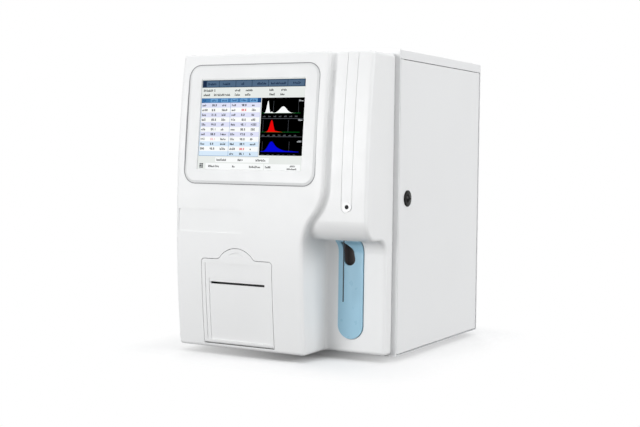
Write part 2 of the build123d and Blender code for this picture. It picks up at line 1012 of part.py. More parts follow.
with BuildPart() as printer_door:
    face_layer(door_axis_z, up(tab_rise) + wall, 0, wall)
    with BuildSketch(Plane.XZ):
        door_outline(0)
    front_view()
    add(door_back.part)
    door_left = door_x - door_width / 2
    rod((door_left, door_axis_y, door_axis_z), (1, 0, 0), door_barrel_radius, door_width)
    add(door_panel.part, mode=Mode.SUBTRACT)
    add(door_chute.part, mode=Mode.SUBTRACT)
    add(finger_notch.part, mode=Mode.SUBTRACT)
    block(
        about(door_x, slot_width),
        (apex_y - wall, front_y),
        about(up(slot_rise), slot_height),
        mode=Mode.SUBTRACT,
    )
    rod(
        (door_left, door_axis_y, door_axis_z),
        (1, 0, 0),
        door_pin_radius + running,
        door_width,
        mode=Mode.SUBTRACT,
    )
finish(printer_door, "printer_door")

with BuildPart() as door_pins:
    for side in (-1, 1):
        start = (door_x + side * (ear_start + ear_width), door_axis_y, door_axis_z)
        length = ear_start + ear_width - door_width / 2 + door_pin_reach
        rod(start, (-side, 0, 0), door_pin_radius, length)
finish(door_pins, "door_pins")

# Printer
bucket_inner = bucket_width - 2 * bucket_wall
bucket_z = (up(bucket_low_rise), up(bucket_high_rise))
platen_y = ahead(platen_reach)
platen_z = up(platen_rise)
paper_axis = (ahead(paper_reach), up(paper_rise))
bucket_left = door_x - bucket_width / 2
gear_x = bucket_left - seat - gear_thickness
bracket_x = gear_x - motor_gap
motor_y = platen_y + platen_gear_radius + motor_gear_radius + seat

with BuildPart() as printer_bucket:
    block(about(door_x, bucket_width), (ahead(bucket_reach), front_y), bucket_z)
    block(
        about(door_x, bucket_inner),
        (ahead(bucket_reach), ahead(bucket_wall)),
        (bucket_z[0] + bucket_wall, bucket_z[1] - bucket_wall),
        mode=Mode.SUBTRACT,
    )
    rod(
        (bucket_left, platen_y, platen_z),
        (1, 0, 0),
        platen_shaft_radius + running,
        bucket_width,
        mode=Mode.SUBTRACT,
    )
    # Cable window, in line with the one in the housing
    block(
        about(door_x, cable_window_width),
        (ahead(bucket_wall), front_y),
        about(up(paper_rise), cable_window_height),
        mode=Mode.SUBTRACT,
    )
finish(printer_bucket, "printer_bucket")

with BuildPart() as paper_spindle:
    rod((bucket_left + bucket_wall, *paper_axis), (1, 0, 0), spindle_radius, bucket_inner)
finish(paper_spindle, "paper_spindle")

with BuildPart() as paper_roll:
    roll_left = door_x - paper_width / 2
    rod((roll_left, *paper_axis), (1, 0, 0), paper_radius, paper_width)
    bore = spindle_radius + running
    rod((roll_left, *paper_axis), (1, 0, 0), bore, paper_width, mode=Mode.SUBTRACT)
finish(paper_roll, "paper_roll")


def gear(start, direction, pitch_radius, teeth, thickness):
    """Plain toothed wheel whose teeth end at its radius."""
    tooth_width = 0.8 * pi * pitch_radius / teeth
    with BuildSketch(Plane(start, z_dir=direction)) as wheel:
        Circle(pitch_radius - gear_tooth)
        with PolarLocations(pitch_radius - gear_tooth, teeth):
            Rectangle(1.8 * gear_tooth, tooth_width)
        Circle(pitch_radius, mode=Mode.INTERSECT)
    extrude(wheel.sketch, amount=thickness)


with BuildPart() as platen_roller:
    rod((door_x - platen_width / 2, platen_y, platen_z), (1, 0, 0), platen_radius, platen_width)
    rod(
        (gear_x, platen_y, platen_z),
        (1, 0, 0),
        platen_shaft_radius,
        bucket_width + seat + gear_thickness + bucket_wall,
    )
    wheel_start = (gear_x, platen_y, platen_z)
    gear(wheel_start, (1, 0, 0), platen_gear_radius, platen_gear_teeth, gear_thickness)
finish(platen_roller, "platen_roller")

with BuildPart() as print_head:
    head_y = platen_y + platen_radius + seat
    head_z = about(platen_z, head_height)
    block(about(door_x, bucket_inner), (head_y, head_y + head_thickness), head_z)
    # Tear bar over the platen
    tear_z = platen_z + platen_radius + bucket_wall
    block(
        about(door_x, bucket_inner),
        (ahead(bucket_reach), ahead(bucket_reach) + head_thickness),
        (tear_z, tear_z + sheet),
    )
finish(print_head, "print_head")

with BuildPart() as motor_bracket:
    bracket_y = (platen_y, motor_y + 2 * motor_radius)
    block((bracket_x - sheet, bracket_x), bracket_y, (platen_z - motor_radius, bucket_z[1]))
    near_y = bracket_y[0] + bracket_inset
    far_y = bracket_y[1] - bracket_inset
    post_z = bucket_z[1] - bracket_inset
    for place in ((near_y, post_z), (far_y, post_z), (far_y, platen_z)):
        rod((bracket_x, *place), (1, 0, 0), post_radius, bucket_left - bracket_x)
    rod(
        (bracket_x - sheet, motor_y, platen_z),
        (1, 0, 0),
        motor_shaft_radius + seat,
        sheet,
        mode=Mode.SUBTRACT,
    )
finish(motor_bracket, "motor_bracket")

with BuildPart() as printer_motor:
    motor_end = bracket_x - sheet - motor_length
    rod((motor_end, motor_y, platen_z), (1, 0, 0), motor_radius, motor_length)
    rod(
        (motor_end + motor_length / 2, motor_y, platen_z),
        (1, 0, 0),
        motor_shaft_radius + running,
        motor_length,
        mode=Mode.SUBTRACT,
    )
finish(printer_motor, "printer_motor")

with BuildPart() as motor_gear:
    shaft_start = motor_end + motor_length / 2 + seat
    rod((shaft_start, motor_y, platen_z), (1, 0, 0), motor_shaft_radius, gear_x - shaft_start)
    gear((gear_x, motor_y, platen_z), (1, 0, 0), motor_gear_radius, motor_gear_teeth, gear_thickness)
finish(motor_gear, "motor_gear")

# Probe unit in the column
probe_axis = (probe_x, ahead(probe_reach))
screw_axis = (probe_x, ahead(rod_reach))
rod_xs = (probe_x - rod_spread, probe_x + rod_spread)
low_plate_z = (up(probe_low_rise), up(probe_low_rise) + probe_plate)
high_plate_z = (top_z - probe_drop - probe_plate, top_z - probe_drop)
carrier_z = (up(carrier_rise), up(carrier_rise) + carrier_height)

with BuildPart() as probe_frame:
    frame_x = about(probe_x, probe_frame_width)
    block(frame_x, (ahead(probe_plate), front_y), (low_plate_z[0], high_plate_z[1]))
    block(frame_x, (ahead(probe_reach) - 2 * probe_plate, front_y), low_plate_z)
    block(frame_x, (ahead(2 * rod_reach), front_y), high_plate_z)
    for z in (low_plate_z[0], high_plate_z[0]):
        rod((*screw_axis, z), (0, 0, 1), journal_radius + running, probe_plate, mode=Mode.SUBTRACT)
    rod((*probe_axis, low_plate_z[0]), (0, 0, 1), probe_plate, probe_plate, mode=Mode.SUBTRACT)
finish(probe_frame, "probe_frame")

with BuildPart() as guide_rods:
    for x in rod_xs:
        start = (x, screw_axis[1], low_plate_z[1])
        rod(start, (0, 0, 1), rod_radius, high_plate_z[0] - low_plate_z[1])
finish(guide_rods, "guide_rods")

with BuildPart() as lead_screw:
    thread_low = low_plate_z[1] + seat
    thread_high = high_plate_z[0] - seat
    rod((*screw_axis, thread_low), (0, 0, 1), screw_radius, thread_high - thread_low)
    journal_high = high_plate_z[1] + probe_motor_height / 2
    rod((*screw_axis, low_plate_z[0]), (0, 0, 1), journal_radius, journal_high - low_plate_z[0])
finish(lead_screw, "lead_screw")

with BuildPart() as probe_motor:
    motor_z = (high_plate_z[1], high_plate_z[1] + probe_motor_height)
    block(about(probe_x, probe_motor_width), about(screw_axis[1], probe_motor_width), motor_z)
    fillet(probe_motor.edges().filter_by(Axis.Z), probe_motor_round)
    rod(
        (*screw_axis, motor_z[0]),
        (0, 0, 1),
        journal_radius + running,
        probe_motor_height / 2 + seat,
        mode=Mode.SUBTRACT,
    )
finish(probe_motor, "probe_motor")

with BuildPart() as probe_carrier:
    block(
        about(probe_x, 2 * (rod_spread + carrier_margin)),
        about(screw_axis[1], carrier_thickness),
        carrier_z,
    )
    block(
        about(probe_x, nose_width),
        (probe_axis[1] - nose_reach, screw_axis[1]),
        about(up(carrier_rise) + carrier_height / 2, nose_height),
    )
    bores = [((x, screw_axis[1]), rod_radius) for x in rod_xs]
    bores += [(screw_axis, screw_radius), (probe_axis, probe_radius)]
    for place, radius in bores:
        start = (*place, carrier_z[0])
        rod(start, (0, 0, 1), radius + running, carrier_height, mode=Mode.SUBTRACT)
finish(probe_carrier, "probe_carrier")

with BuildPart() as probe:
    rod((*probe_axis, up(probe_tip_rise)), (0, 0, 1), probe_radius, probe_length)
    rod((*probe_axis, up(probe_tip_rise)), (0, 0, 1), probe_bore, probe_length, mode=Mode.SUBTRACT)
finish(probe, "probe")

with BuildPart() as rinse_block:
    rinse_z = (low_plate_z[1], low_plate_z[1] + rinse_height)
    block(about(probe_x, rinse_width), about(probe_axis[1], rinse_depth), rinse_z)
    start = (*probe_axis, rinse_z[0])
    rod(start, (0, 0, 1), probe_radius + seat, rinse_height, mode=Mode.SUBTRACT)
finish(rinse_block, "rinse_block")


# Sheet-metal housing
hinge_x = half_width - hinge_radius
hinge_y = rear_y - sheet - door_rear_gap - hinge_radius
stop_x = half_width - sheet - seat
door_low = up(sheet + door_clear)
door_high = top_z - skirt - door_clear
return_x = half_width - sheet - door_return
lock_place = (within(lock_depth), up(lock_rise))
foot_ys = (within(foot_front_depth), within(foot_rear_depth))
foot_places = [(x, y) for x in (-foot_x, foot_x) for y in foot_ys]
left_screw_rises = (low_screw_rise, housing_height - left_screw_drop)
left_screw_places = [(within(y), up(rise)) for y in left_screw_depths for rise in left_screw_rises]
rear_screw_x = half_width - rear_screw_inset
rear_screw_rises = (low_screw_rise, housing_height - rear_screw_drop)
rear_screw_places = [(x, up(rise)) for x in (-rear_screw_x, 0.0, rear_screw_x) for rise in rear_screw_rises]


def screw_holes(places, plane):
    """Cut a hole through a wall at each place on a plane."""
    with BuildSketch(plane) as holes:
        with Locations(*places):
            Circle(screw_hole)
    extrude(holes.sketch, amount=3 * sheet, both=True, mode=Mode.SUBTRACT)


rear_plane = Plane((0, rear_y, 0), x_dir=(1, 0, 0), z_dir=(0, -1, 0))
front_plane = Plane((0, front_y, 0), x_dir=(1, 0, 0), z_dir=(0, -1, 0))
left_plane = Plane((-half_width, 0, 0), x_dir=(0, 1, 0), z_dir=(1, 0, 0))

with BuildPart() as front_frame:
    block((-half_width, half_width), (front_y, within(sheet)), (base_z, top_z))
    fillet(front_frame.edges().filter_by(Axis.Z).group_by(Axis.Y)[0], bend_round)
    for side in (-1, 1):
        block(
            span(side * (stop_x - sheet), side * stop_x),
            (within(sheet / 2), within(sheet + corner_return)),
            (up(sheet + seat), top_z - sheet - seat),
        )
    # Windows behind the screen and the printer
    block(
        about(screen_x, frame_window_width),
        (ahead(bite), within(sheet + bite)),
        about(up(screen_rise), frame_window_height),
        mode=Mode.SUBTRACT,
    )
    block(
        about(door_x, cable_window_width),
        (ahead(bite), within(sheet + bite)),
        about(up(paper_rise), cable_window_height),
        mode=Mode.SUBTRACT,
    )
    screw_holes(boss_places, front_plane)
finish(front_frame, "front_frame")

inner_y = (within(sheet), rear_y - sheet)
with BuildPart() as base_tray:
    block((-half_width, half_width), inner_y, (base_z, up(sheet)))
    flange_x = (-stop_x + 2 * lip, stop_x - 2 * lip)
    block(flange_x, (inner_y[0], inner_y[0] + sheet), (base_z, up(lip)))
    block(flange_x, (inner_y[1] - sheet, inner_y[1]), (base_z, up(lip)))
    block(
        (-half_width + sheet, -half_width + 2 * sheet),
        (inner_y[0] + 2 * lip, inner_y[1] - 2 * lip),
        (base_z, up(lip)),
    )
    screw_holes(left_screw_places, left_plane)
    screw_holes(rear_screw_places, rear_plane)
finish(base_tray, "base_tray")

with BuildPart() as left_panel:
    panel_high = top_z - skirt - seat
    block((-half_width, -half_width + sheet), inner_y, (up(sheet), panel_high))
    # Lip that reaches up behind the top cover's skirt
    block(
        (-half_width + sheet, -half_width + 2 * sheet),
        (inner_y[0] + 2 * lip, inner_y[1] - 2 * lip),
        (panel_high - lip, top_z - sheet - seat),
    )
    # Two groups of vent slots
    for rise in vent_rises:
        with BuildSketch(left_plane):
            with Locations((within(housing_depth / 2), up(rise))):
                with GridLocations(vent_length + 2 * lip, vent_pitch, 2, vent_rows):
                    SlotOverall(vent_length, vent_width)
        extrude(amount=sheet, mode=Mode.SUBTRACT)
    screw_holes(left_screw_places, left_plane)
finish(left_panel, "left_panel")

with BuildPart() as top_cover:
    block((-half_width, half_width), (within(sheet), rear_y), (top_z - sheet, top_z))
    for side in (-1, 1):
        block(
            span(side * (half_width - sheet), side * half_width),
            (within(sheet + seat), rear_y - sheet - seat),
            (top_z - skirt, top_z),
        )
    bends = edges_near(
        top_cover,
        (-half_width, half_width),
        (within(sheet) + snug, rear_y - snug),
        (top_z - snug, top_z),
    )
    fillet(bends, bend_round)
    for y in (inner_y[0], inner_y[1] - sheet):
        block(flange_x, (y, y + sheet), (top_z - lip, top_z - sheet / 2))
    screw_holes(rear_screw_places, rear_plane)
finish(top_cover, "top_cover")

with BuildPart() as mid_wall:
    wall_z = (up(sheet), top_z - mid_wall_drop)
    block((mid_wall_x, mid_wall_x + sheet), (within(2 * lip), rear_y - 2 * lip), wall_z)
    block(
        (mid_wall_x, mid_wall_x + lip),
        (within(2 * lip), rear_y - 2 * lip),
        (wall_z[0], wall_z[0] + sheet),
    )
finish(mid_wall, "mid_wall")

with BuildPart() as rubber_feet:
    with BuildSketch(Plane.XY):
        with Locations(*foot_places):
            Circle(foot_radius)
    extrude(amount=foot_height)
    chamfer(rubber_feet.edges().group_by(Axis.Z)[0], foot_bevel)
finish(rubber_feet, "rubber_feet")

# Side door, hinge and lock
with BuildPart() as side_door:
    door_rear = hinge_y + hinge_radius
    block((return_x, half_width), (within(door_front_depth), door_rear), (door_low, door_high))
    fillet(
        side_door.edges().filter_by(Axis.Z).group_by(Axis.X)[-1].sort_by(Axis.Y)[-1],
        hinge_radius,
    )
    with BuildSketch(Plane.XY.offset(door_low + sheet)):
        with Locations((half_width - sheet, door_rear - sheet)):
            Rectangle(door_return + sheet, housing_depth, align=(Align.MAX, Align.MAX))
        fillet(vertices().group_by(Axis.Y)[-1].sort_by(Axis.X)[-1], hinge_radius - sheet)
    extrude(amount=door_high - door_low - 2 * sheet, mode=Mode.SUBTRACT)
    block(
        (return_x, half_width - sheet),
        (within(0), within(sheet + corner_return + 2 * door_clear)),
        (door_low, door_high),
        mode=Mode.SUBTRACT,
    )
    rod(
        (hinge_x, hinge_y, door_low),
        (0, 0, 1),
        hinge_pin_radius + running,
        door_high - door_low,
        mode=Mode.SUBTRACT,
    )
    rod(
        (half_width, *lock_place),
        (-1, 0, 0),
        lock_body_radius + snug,
        sheet,
        mode=Mode.SUBTRACT,
    )
finish(side_door, "side_door")

with BuildPart() as hinge_pins:
    length = door_low - up(sheet) + hinge_pin_length
    rod((hinge_x, hinge_y, up(sheet)), (0, 0, 1), hinge_pin_radius, length)
    # Bracket on the rear panel that holds the upper pin
    bracket_z = door_high + door_clear
    block(
        (hinge_x - lip, hinge_x + hinge_radius - sheet - seat),
        (hinge_y - hinge_radius, rear_y - sheet),
        (bracket_z, bracket_z + sheet),
    )
    block(
        (hinge_x - lip, hinge_x + hinge_radius - sheet - seat),
        (rear_y - 2 * sheet, rear_y - sheet),
        (bracket_z, top_z - sheet - seat),
    )
    rod((hinge_x, hinge_y, bracket_z), (0, 0, -1), hinge_pin_radius, hinge_pin_length)
finish(hinge_pins, "hinge_pins")

lock_inner_x = half_width - sheet - lock_nut_thickness
cam_x = (lock_inner_x - seat - cam_thickness, lock_inner_x - seat)
with BuildPart() as lock_body:
    rod((half_width, *lock_place), (1, 0, 0), lock_head_radius, lock_head_proud)
    fillet(lock_body.edges().group_by(Axis.X)[-1], lock_head_round)
    rod((lock_inner_x, *lock_place), (1, 0, 0), lock_body_radius, half_width - lock_inner_x)
    with BuildSketch(Plane((lock_inner_x, *lock_place), x_dir=(0, 1, 0), z_dir=(1, 0, 0))):
        RegularPolygon(lock_nut_radius, 6)
    extrude(amount=lock_nut_thickness)
    rod(
        (lock_inner_x, *lock_place),
        (1, 0, 0),
        lock_plug_radius + running,
        half_width - lock_inner_x + lock_head_proud,
        mode=Mode.SUBTRACT,
    )
finish(lock_body, "lock_body")

with BuildPart() as lock_plug:
    plug_end = half_width + lock_head_proud + lock_plug_proud
    rod((cam_x[0], *lock_place), (1, 0, 0), lock_plug_radius, plug_end - cam_x[0])
    block(
        cam_x,
        about(lock_place[0], cam_width),
        (lock_place[1] - cam_width / 2, lock_place[1] + cam_length),
    )
    # Key slot
    block(
        (plug_end - cam_thickness, plug_end),
        about(lock_place[0], sheet),
        about(lock_place[1], lock_plug_radius),
        mode=Mode.SUBTRACT,
    )
finish(lock_plug, "lock_plug")


# Rear panel and what it carries
fan_y = rear_y - sheet - fan_depth

with BuildPart() as rear_panel:
    block((-half_width, half_width), (rear_y - sheet, rear_y), (base_z, top_z - sheet))
    for step in range(grille_rows):
        rise = fan_bore_radius * (2 * step - grille_rows + 1) / (grille_rows + 1)
        half = sqrt(fan_bore_radius**2 - rise**2) - grille_slot
        block(
            (fan_x - half, fan_x + half),
            (rear_y - sheet, rear_y),
            about(up(fan_rise) + rise, grille_slot),
            mode=Mode.SUBTRACT,
        )
    screw_holes(rear_screw_places, rear_plane)
    for x in spigot_xs:
        rod((x, rear_y, up(spigot_rise)), (0, -1, 0), spigot_radius + snug, sheet, mode=Mode.SUBTRACT)
    rod((stud_x, rear_y, up(inlet_rise)), (0, -1, 0), stud_radius + snug, sheet, mode=Mode.SUBTRACT)
    block(
        about(inlet_x, inlet_width + 2 * snug),
        (rear_y - sheet, rear_y),
        about(up(inlet_rise), inlet_height + 2 * snug),
        mode=Mode.SUBTRACT,
    )
    block(
        about(rocker_x, rocker_body_width + 2 * snug),
        (rear_y - sheet, rear_y),
        about(up(inlet_rise), rocker_body_height + 2 * snug),
        mode=Mode.SUBTRACT,
    )
    for x, width, height in port_shells:
        block(
            about(x, width + 2 * snug),
            (rear_y - sheet, rear_y),
            about(up(port_rise), height + 2 * snug),
            mode=Mode.SUBTRACT,
        )
finish(rear_panel, "rear_panel")

with BuildPart() as fan_frame:
    block(about(fan_x, fan_width), (fan_y, rear_y - sheet), about(up(fan_rise), fan_width))
    fillet(fan_frame.edges().filter_by(Axis.Y), corner_round)
    rod((fan_x, fan_y, up(fan_rise)), (0, 1, 0), fan_bore_radius, fan_depth, mode=Mode.SUBTRACT)
    # Spider that carries the rotor's shaft
    spider_y = rear_y - sheet - spider_thickness
    rod((fan_x, spider_y, up(fan_rise)), (0, 1, 0), fan_hub_radius, spider_thickness)
    with BuildSketch(Plane((fan_x, spider_y, up(fan_rise)), z_dir=(0, 1, 0))):
        with PolarLocations(0, spider_arms):
            Rectangle(fan_bore_radius + snug, 2 * spider_thickness, align=(Align.MIN, Align.CENTER))
    extrude(amount=spider_thickness)
    rod((fan_x, fan_y + spider_thickness, up(fan_rise)), (0, 1, 0), fan_shaft_radius, spider_y - fan_y)
finish(fan_frame, "fan_frame")

with BuildPart() as fan_rotor:
    rotor_y = (fan_y + spider_thickness, spider_y - 2 * seat)
    rod((fan_x, rotor_y[0], up(fan_rise)), (0, 1, 0), fan_hub_radius, rotor_y[1] - rotor_y[0])
    pitch = radians(blade_pitch)
    for turn in range(fan_blades):
        angle = 2 * pi * turn / fan_blades
        blade = Plane(
            (fan_x, sum(rotor_y) / 2, up(fan_rise)),
            x_dir=(cos(angle), 0, sin(angle)),
            z_dir=(sin(angle) * cos(pitch), sin(pitch), -cos(angle) * cos(pitch)),
        )
        with BuildSketch(blade):
            Rectangle(fan_bore_radius, 2 * fan_depth, align=(Align.MIN, Align.CENTER))
        extrude(amount=blade_thickness / 2, both=True)
    # Trim the blades to the bore and to the hub's length
    with BuildSketch(Plane((fan_x, rotor_y[0], up(fan_rise)), z_dir=(0, 1, 0))):
        Circle(fan_bore_radius - blade_tip_gap)
    extrude(amount=rotor_y[1] - rotor_y[0], mode=Mode.INTERSECT)
    rod(
        (fan_x, rotor_y[0], up(fan_rise)),
        (0, 1, 0),
        fan_shaft_radius + running,
        rotor_y[1] - rotor_y[0],
        mode=Mode.SUBTRACT,
    )
finish(fan_rotor, "fan_rotor")

with BuildPart() as power_inlet:
    block(
        about(inlet_x, inlet_width),
        (rear_y - inlet_depth, rear_y + flange),
        about(up(inlet_rise), inlet_height),
    )
    block(
        about(inlet_x, inlet_width + 2 * inlet_flange),
        (rear_y, rear_y + flange),
        about(up(inlet_rise), inlet_height + 2 * flange),
    )
    block(
        about(inlet_x, inlet_width - 2 * flange),
        (rear_y - inlet_depth + 2 * flange, rear_y + flange),
        about(up(inlet_rise), inlet_height - 2 * flange),
        mode=Mode.SUBTRACT,
    )
    # Three blades in the well
    for x, rise in blade_places:
        block(
            about(inlet_x + x, flange),
            (rear_y - inlet_depth + flange, rear_y - flange),
            about(up(inlet_rise) + rise, blade_height),
        )
finish(power_inlet, "power_inlet")

rocker_axis = (rear_y - 1, up(inlet_rise))
with BuildPart() as rocker_switch:
    block(
        about(rocker_x, rocker_body_width),
        (rear_y - rocker_depth, rear_y + flange),
        about(up(inlet_rise), rocker_body_height),
    )
    block(
        about(rocker_x, rocker_body_width + 2 * flange),
        (rear_y, rear_y + flange),
        about(up(inlet_rise), rocker_body_height + 2 * flange),
    )
    rod(
        (rocker_x - rocker_width / 2 - seat, *rocker_axis),
        (1, 0, 0),
        rocker_radius + seat,
        rocker_width + 2 * seat,
        mode=Mode.SUBTRACT,
    )
    rod(
        (rocker_x - rocker_width / 2 - 2 * flange, *rocker_axis),
        (1, 0, 0),
        rocker_pin_radius + running,
        rocker_width + 4 * flange,
        mode=Mode.SUBTRACT,
    )
finish(rocker_switch, "rocker_switch")

with BuildPart() as power_rocker:
    tilt = radians(rocker_tilt)
    rocker_tip = rocker_crown + rocker_radius * tan(tilt)
    with BuildSketch(Plane((rocker_x, *rocker_axis), x_dir=(0, cos(tilt), -sin(tilt)), z_dir=(1, 0, 0))):
        Circle(rocker_radius)
        Polygon(
            (rocker_crown, 0),
            (rocker_tip, rocker_radius),
            (2 * rocker_radius, rocker_radius),
            (2 * rocker_radius, -rocker_radius),
            (rocker_tip, -rocker_radius),
            align=None,
            mode=Mode.SUBTRACT,
        )
    extrude(amount=rocker_width / 2, both=True)
    rod(
        (rocker_x - rocker_width / 2 - flange, *rocker_axis),
        (1, 0, 0),
        rocker_pin_radius,
        rocker_width + 2 * flange,
    )
finish(power_rocker, "power_rocker")

with BuildPart() as data_ports:
    for x, width, height in port_shells:
        shell_y = (rear_y - port_depth, rear_y + sheet)
        block(about(x, width), shell_y, about(up(port_rise), height))
        block(
            about(x, width - 2 * sheet),
            (rear_y - port_depth + 2 * sheet, rear_y + sheet),
            about(up(port_rise), height - 2 * sheet),
            mode=Mode.SUBTRACT,
        )
    # Board behind the panel that carries the sockets
    block(
        (port_shells[0][0] - port_depth, port_shells[-1][0] + port_depth),
        (rear_y - port_depth - board_thickness, rear_y - port_depth),
        about(up(port_rise), 2 * port_depth),
    )
finish(data_ports, "data_ports")

with BuildPart() as spigots:
    for x in spigot_xs:
        start = (x, rear_y - 2 * flange, up(spigot_rise))
        rod(start, (0, 1, 0), spigot_radius, port_reach + 2 * flange)
        rod((x, rear_y, up(spigot_rise)), (0, 1, 0), 2 * spigot_radius, flange)
        rod((x, rear_y - sheet, up(spigot_rise)), (0, -1, 0), 2 * spigot_radius, flange)
        rod(start, (0, 1, 0), spigot_bore, port_reach + 2 * flange, mode=Mode.SUBTRACT)
finish(spigots, "spigots")

with BuildPart() as earth_stud:
    rod((stud_x, rear_y - 2 * flange, up(inlet_rise)), (0, 1, 0), stud_radius, port_reach)
    with BuildSketch(Plane((stud_x, rear_y, up(inlet_rise)), x_dir=(1, 0, 0), z_dir=(0, 1, 0))):
        RegularPolygon(2 * stud_radius, 6)
    extrude(amount=flange)
finish(earth_stud, "earth_stud")

# Left of the middle wall: electronics
board_x = mid_wall_x - main_post_length
with BuildPart() as main_board:
    board_y = (within(main_depths[0]), within(main_depths[1]))
    board_z = (up(main_low_rise), top_z - main_drop)
    block((board_x - board_thickness, board_x), board_y, board_z)
    for y in (board_y[0] + main_post_inset, board_y[1] - main_post_inset):
        for z in (board_z[0] + main_post_inset, board_z[1] - main_post_inset):
            rod((board_x, y, z), (1, 0, 0), post_radius, main_post_length)
    # Heat sink, capacitors and two connectors
    block(
        (board_x - sink_thickness, board_x),
        (within(sink_depths[0]), within(sink_depths[1])),
        (up(sink_rises[0]), up(sink_rises[1])),
    )
    for depth in capacitor_depths:
        start = (board_x, within(depth), up(capacitor_rise))
        rod(start, (-1, 0, 0), capacitor_radius, capacitor_length)
    for rise in header_rises:
        block(
            (board_x - header_thickness, board_x),
            (within(header_depths[0]), within(header_depths[1])),
            about(up(rise), header_height),
        )
finish(main_board, "main_board")

with BuildPart() as power_supply:
    block(
        (supply_inset - half_width, mid_wall_x - supply_wall_gap),
        (within(supply_depths[0]), within(supply_depths[1])),
        (up(sheet), up(sheet) + supply_height),
    )
    fillet(power_supply.edges().filter_by(Axis.Z), supply_round)
finish(power_supply, "power_supply")

# Right of the middle wall: fluids
plate_x = mid_wall_x + sheet
valve_x = plate_x + manifold_depth
valve_depths = [valve_start + index * valve_pitch for index in range(valve_count)]
with BuildPart() as valve_block:
    block(
        (plate_x, valve_x),
        (within(valve_depths[0] - manifold_margin), within(valve_depths[-1] + manifold_margin)),
        about(up(valve_rise), manifold_height),
    )
finish(valve_block, "valve_block")

with BuildPart() as solenoid_valves:
    for depth in valve_depths:
        block(
            (valve_x, valve_x + valve_length),
            about(within(depth), valve_width),
            about(up(valve_rise), valve_width),
        )
        start = (valve_x + valve_length, within(depth), up(valve_rise))
        rod(start, (1, 0, 0), valve_cap_radius, valve_cap_length)
finish(solenoid_valves, "solenoid_valves")

syringe_y = within(syringe_depth)
barrel_places = [(barrel_x, syringe_y + side * barrel_spread) for side in (-1, 1)]
barrel_z = (up(barrel_rise), up(barrel_rise) + barrel_height)
unit_low = barrel_z[0] - unit_drop
with BuildPart() as syringe_unit:
    unit_y = about(syringe_y, 2 * barrel_spread + 4 * barrel_radius)
    block((plate_x, plate_x + unit_plate), unit_y, (unit_low, barrel_z[1] + unit_plate))
    # Head over the barrels and shelf under them
    for low in (barrel_z[0] - unit_plate, barrel_z[1]):
        shelf_x = (plate_x, barrel_x + barrel_radius + unit_margin)
        block(shelf_x, unit_y, (low, low + unit_plate))
    foot_y = about(syringe_y, unit_foot_width)
    block((plate_x, barrel_x + barrel_radius), foot_y, (unit_low, unit_low + unit_plate))
    for x, y in barrel_places:
        start = (x, y, barrel_z[0] - unit_plate)
        rod(start, (0, 0, 1), plunger_rod_radius + rod_clearance, unit_plate, mode=Mode.SUBTRACT)
    start = (barrel_x, syringe_y, unit_low + unit_plate)
    rod(start, (0, 0, 1), rod_radius, unit_drop - 2 * unit_plate)
finish(syringe_unit, "syringe_unit")

with BuildPart() as syringe_barrels:
    for x, y in barrel_places:
        rod((x, y, barrel_z[0]), (0, 0, 1), barrel_radius, barrel_height)
        rod((x, y, barrel_z[0]), (0, 0, 1), barrel_bore, barrel_height, mode=Mode.SUBTRACT)
finish(syringe_barrels, "syringe_barrels")

with BuildPart() as syringe_plungers:
    bar_low = barrel_z[0] - crossbar_drop
    bar_high = bar_low + crossbar_height
    head_low = barrel_z[0] + plunger_head_rise
    block(
        about(barrel_x, 2 * barrel_radius),
        about(syringe_y, 2 * barrel_spread + 2 * barrel_radius),
        (bar_low, bar_high),
    )
    rod(
        (barrel_x, syringe_y, bar_low),
        (0, 0, 1),
        rod_radius + running,
        crossbar_height,
        mode=Mode.SUBTRACT,
    )
    for x, y in barrel_places:
        rod((x, y, bar_high), (0, 0, 1), plunger_rod_radius, head_low - bar_high)
        rod((x, y, head_low), (0, 0, 1), barrel_bore - running, plunger_head)
finish(syringe_plungers, "syringe_plungers")

bath_places = [(bath_x, within(depth)) for depth in bath_depths]
bath_top = up(bath_rise)
bath_low = bath_top - bath_height
with BuildPart() as bath_bracket:
    shelf_y = (within(bath_depths[0] - shelf_margin), within(bath_depths[1] + shelf_margin))
    shelf_z = (bath_top - unit_plate, bath_top)
    block((plate_x, plate_x + unit_plate), shelf_y, (bath_top - shelf_height, bath_top))
    block((plate_x, bath_x + bath_radius + shelf_reach), shelf_y, shelf_z)
    for x, y in bath_places:
        rod((x, y, shelf_z[0]), (0, 0, 1), bath_radius + snug, unit_plate, mode=Mode.SUBTRACT)
finish(bath_bracket, "bath_bracket")

with BuildPart() as baths:
    for x, y in bath_places:
        rod((x, y, bath_low), (0, 0, 1), bath_radius, bath_height)
        rod((x, y, bath_top), (0, 0, 1), bath_radius + bath_rim, bath_rim_height)
        inner = (x, y, bath_low + bath_floor)
        rod(inner, (0, 0, 1), bath_radius - bath_wall, bath_height, mode=Mode.SUBTRACT)
        rod((x, y, bath_low), (0, 0, -1), bath_drain_radius, bath_drain_length)
finish(baths, "baths")

chamber_place = (chamber_x, within(chamber_depth))
lid_low = up(sheet) + chamber_height
lid_high = lid_low + chamber_lid_height
with BuildPart() as waste_chamber:
    rod((*chamber_place, up(sheet)), (0, 0, 1), chamber_radius, chamber_height)
    rod((*chamber_place, lid_low), (0, 0, 1), chamber_radius + chamber_lid_rim, chamber_lid_height)
    rod((*chamber_place, lid_high), (0, 0, 1), chamber_neck_radius, chamber_neck_height)
finish(waste_chamber, "waste_chamber")

with BuildPart() as pumps:
    pump_low = up(sheet) + pump_base_height
    head_y = (within(pump_depth), within(pump_depth + pump_head_length))
    base_y = (head_y[0], within(pump_depth + pump_base_length))
    for x in pump_xs:
        block(about(x, pump_width), base_y, (up(sheet), pump_low))
        block(about(x, pump_width), head_y, (up(sheet), pump_low + pump_width))
        start = (x, head_y[1], pump_low + pump_width / 2)
        rod(start, (0, 1, 0), pump_motor_radius, pump_motor_length)
finish(pumps, "pumps")

